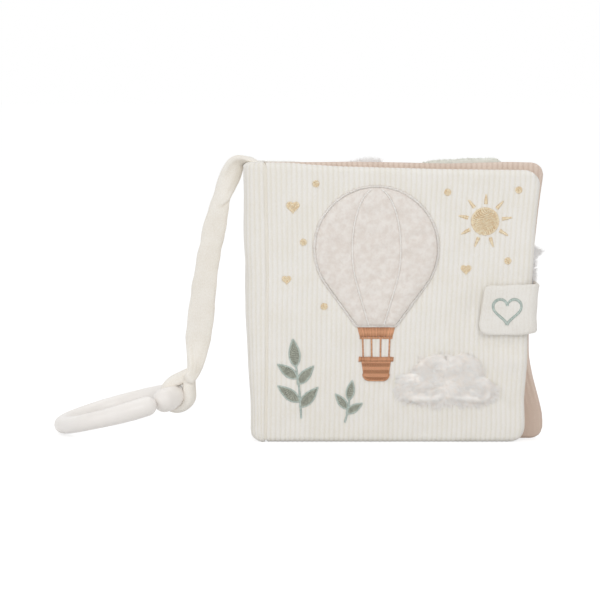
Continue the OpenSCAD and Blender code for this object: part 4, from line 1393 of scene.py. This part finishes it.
def cloud_y(x, z, rim):
    """The fur's backing: a soft pad with a dip between lobes."""
    lumps = 0.3 * ripple(x, z, 8, 71) + 0.16 * ripple(x, z, 3, 72, 14)
    return -COVER_OUT - 0.3 - np.sqrt(1 - (1 - np.clip(rim / 6.0, 0, 1)) ** 2) * (2.4 + lumps)


fur_pad = pillow("cloud_pad", CLOUD_EDGE, CLOUD_MIDDLE, cloud_y, lambda x, z: 0 * x - COVER_OUT + 0.7,
                 "front_board", long_fur, "long_fur")
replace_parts(fur_pad, "fur_cloud")


def cloud_face(x, z):
    """The depth of the fur's backing, and of the cover round it."""
    return np.minimum(cloud_y(x, z, rim_in(x, z, CLOUD_EDGE)), front_y(x, z) - 0.15)


def fur_ways(flat, outward, down, jitter):
    """Directions that lean away from the cloud's middle, downwards and out of the cover."""
    away = unit(flat - CLOUD_MIDDLE)
    swirl = 0.5 * ripple(flat[:, 0], flat[:, 1], 14, 73)
    lean = np.stack([away[:, 0] * 0.8 - 0.2 + swirl, away[:, 1] * 0.6 - down], -1)
    lean = lean + rng.normal(0, jitter, lean.shape)
    return unit(np.stack([lean[:, 0], np.full(len(flat), -outward), lean[:, 1]], -1))


def cloud_fur():
    """Long hairs in clumps that lie on the pad; those near its edge fall onto the cover."""
    flat, lead = scattered(CLOUD_EDGE, 7400), scattered(CLOUD_EDGE, 420)
    roots, lead_roots = (np.stack([p[:, 0], cloud_face(*p.T), p[:, 1]], -1) for p in (flat, lead))
    lead_tips = lead_roots + fur_ways(lead, 0.1, 0.45, 0.35) * rng.uniform(3.4, 5.8, (len(lead), 1))
    ways = fur_ways(flat, 0.1, 0.4, 0.3)
    lengths = rng.uniform(2.6, 4.8, len(flat))
    bend = np.stack([rng.normal(0, 0.4, len(flat)), 0 * lengths, np.full(len(flat), -0.5)], -1)
    return hairs("cloud_fur", roots, ways, lengths, bend, 0.2, 3, facing(cloud_face, flat),
                 "front_board", long_fur, "long_fur", (lead_roots, lead_tips), 0.6, cloud_face, 0.28)


cloud_fur()

# %% [markdown]
# ## Shapes that stand out of the leaves
#
# Three shapes sewn inside the book show past its edges: a tuft of white fur, the top of a plush
# leaf, and the end of a grey fur tail. Each is a flat felt shape with hair on its rim and faces.


# %% Tuft, plush leaf and tail
def felt_shape(name, node, outline, middle, material, slot):
    """A thin closed felt shape between the middle and the front leaf."""
    def face_y(x, z, rim):
        return -2.2 - 0.5 * np.sqrt(1 - (1 - np.clip(rim / 0.8, 0, 1)) ** 2)

    piece = pillow(name, outline, middle, face_y, lambda x, z: 0 * x - 2.05, "spine_block", material,
                   slot, 10)
    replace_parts(piece, node)
    return piece


def edge_hairs(name, outline, seen, count, length, radius, rings, material, slot, lean, fan):
    """Hairs on the part of a shape that is seen, standing off its rim and both faces."""
    flat = scattered(outline, count * 3)
    flat = flat[seen(flat)][:count]
    middle = outline.mean(0)
    side = np.where(rng.uniform(size=len(flat)) < 0.6, -1.0, 1.0)
    away = unit(flat - middle)
    roots = np.stack([flat[:, 0], -2.35 + 0.3 * side, flat[:, 1]], -1)
    spin = rng.normal(0, fan, (len(flat), 3))
    leaning = np.stack([away[:, 0] * 0.6 + lean[0], 0.14 * side, away[:, 1] * 0.6 + lean[1]], -1)
    ways = unit(leaning + spin * [1, 0.4, 1])
    lengths = rng.uniform(0.5, 1.0, len(flat)) * length
    bend = rng.normal(0, 0.12 * length, (len(flat), 3)) * [1, 0.3, 1]
    return hairs(name, roots, ways, lengths, bend, radius, rings, OUT * -side[:, None], "spine_block",
                 material, slot)


def tuft_outline():
    """The tuft, low at its left end and highest right of its middle."""
    corners = np.array([[-22.6, 120], [-22.2, 133.6], [-17, 134.9], [-12, 136.0], [-8, 136.0], [-5.7, 135.3],
                        [-5.5, 120]])
    return even_steps(closed_line(corners), 80)[:-1]


def plush_leaf_outline():
    """The top of the plush leaf, with its highest end at the right."""
    corners = np.array([[53.0, 118], [52.8, 134.8], [49.8, 136.8], [42, 136.7], [34.5, 136.6], [31, 136.2],
                        [20.5, 135.9], [17.5, 135.3], [13.8, 134.4], [15, 118]])
    return even_steps(closed_line(corners), 90)[:-1]


def tail_outline():
    """The tail's end, with a point that stands out past the fore edge."""
    corners = np.array([[54, 75.8], [68.2, 75.8], [69.3, 79.8], [68.9, 83], [68.9, 88], [72.8, 91.4],
                        [68.4, 93.6], [55, 93]])
    return even_steps(closed_line(corners), 60)[:-1]


TUFT, SAGE_TOP, TAIL = tuft_outline(), plush_leaf_outline(), tail_outline()
felt_shape("tuft_felt", "fur_tuft", TUFT, np.array([-13.7, 127.0]), tuft_white, "long_fur")
felt_shape("plush_leaf_felt", "plush_leaf", SAGE_TOP, np.array([34.6, 125.4]), sage_plush, "sage_plush")
felt_shape("tail_felt", "fur_tail", TAIL, np.array([63.0, 86.0]), grey_fur, "grey_fur")
edge_hairs("tuft_fur", TUFT, lambda p: p[:, 1] > 131.5, 1300, 2.4, 0.15, 3, tuft_white, "long_fur",
           (0.1, 0.9), 0.2)
edge_hairs("plush_leaf_pile", SAGE_TOP, lambda p: p[:, 1] > 132, 1900, 0.9, 0.15, 2, sage_plush, "sage_plush",
           (0.0, 0.5), 0.35)
edge_hairs("tail_fur", TAIL, lambda p: p[:, 0] > 65.0, 1000, 2.8, 0.15, 3, grey_fur, "grey_fur", (0.65, 0.15),
           0.28)

# %% The emblem on the tab
def tab_y(x, z):
    """The depth of the tab's face, where the emblem lies."""
    return -TAB_FACE - 1.3 + 0 * np.asarray(x)


emblem_line = closed_line(heart((54.6, 64.8), 13.6))
emblem = embroider("tab_emblem_stitches", satin_across(emblem_line, 0.72, 0.3), 0.19, 0.5, sage,
                   "sage_thread", body="back_board", surface=tab_y)
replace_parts(emblem, "tab_emblem")
for piece in (tab_piece, hook_half, emblem):
    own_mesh(piece)

# %% [markdown]
# ## Floor, background and light
#
# The book stands on a plain white table in an evenly lit studio. A bright world gives the even
# part. Two broad area lamps, in front to the right and left, give the ribs their soft shade, and a
# third above lights the tops of the strap and the ring. The table and the background are white to
# the camera, and the table keeps a faint shadow.


# %% Floor and background
WORLD_LIGHT = 0.61
FLOOR_TONE, FLOOR_TONE_SEEN, FLOOR_GLOW_SEEN = 0.8, 0.4, 0.76


def white_to_camera(tree):
    """1 for rays from the camera, or seen in gloss or through glass, and 0 for the rest."""
    path = tree.nodes.new("ShaderNodeLightPath")
    seen = maths(tree, "MAXIMUM", path.outputs["Is Camera Ray"], path.outputs["Is Glossy Ray"])
    return maths(tree, "MAXIMUM", seen, path.outputs["Is Transmission Ray"])


def floor():
    """A wide plane at the book's foot: pale, and brightened for the camera only."""
    points = np.array([[-3000, -2000, 0], [3000, -2000, 0], [3000, 9000, 0], [-3000, 9000, 0]], float)
    mesh = bpy.data.meshes.new("studio_floor")
    mesh.from_pydata((points * MM).tolist(), [], [(0, 1, 2, 3)])
    piece = bpy.data.objects.new("studio_floor", mesh)
    bpy.context.collection.objects.link(piece)
    material = bpy.data.materials.new("studio_floor")
    material.use_nodes = True
    tree = material.node_tree
    shader = tree.nodes["Principled BSDF"]
    seen = white_to_camera(tree)
    tone = spread(tree, seen, 0, 1, FLOOR_TONE, FLOOR_TONE_SEEN)
    tree.links.new(tone, shader.inputs["Base Color"])
    shader.inputs["Roughness"].default_value = 1.0
    shader.inputs["Specular IOR Level"].default_value = 0.0
    shader.inputs["Emission Color"].default_value = (1, 1, 1, 1)
    tree.links.new(maths(tree, "MULTIPLY", seen, FLOOR_GLOW_SEEN), shader.inputs["Emission Strength"])
    mesh.materials.append(material)
    return piece


floor()
world = bpy.data.worlds.new("studio_world")
bpy.context.scene.world = world
world.use_nodes = True
tree = world.node_tree
background = tree.nodes["Background"]
background.inputs["Color"].default_value = (1, 1, 1, 1)
level = spread(tree, white_to_camera(tree), 0, 1, WORLD_LIGHT, 1.0)
tree.links.new(level, background.inputs["Strength"])


# %% Lamps
def lamp(name, place, size, power):
    """A square area lamp at a place in mm, turned to the middle of the book."""
    data = bpy.data.lights.new(name, "AREA")
    data.size = size * MM
    data.energy = power
    piece = bpy.data.objects.new(name, data)
    bpy.context.collection.objects.link(piece)
    place = np.array(place, float) * MM
    way = np.array([-0.03, 0, 0.06]) - place
    flat = math.hypot(way[0], way[1])
    piece.location = place.tolist()
    piece.rotation_euler = (math.atan2(flat, -way[2]), 0, math.atan2(way[1], way[0]) - math.pi / 2)
    return piece


lamp("key_lamp", (480, -1400, 950), 800, 6.0)
lamp("fill_lamp", (-1100, -1000, 500), 900, 3.2)
lamp("top_lamp", (-150, 500, 1300), 900, 2.6)
bpy.context.scene.view_settings.view_transform = "Standard"
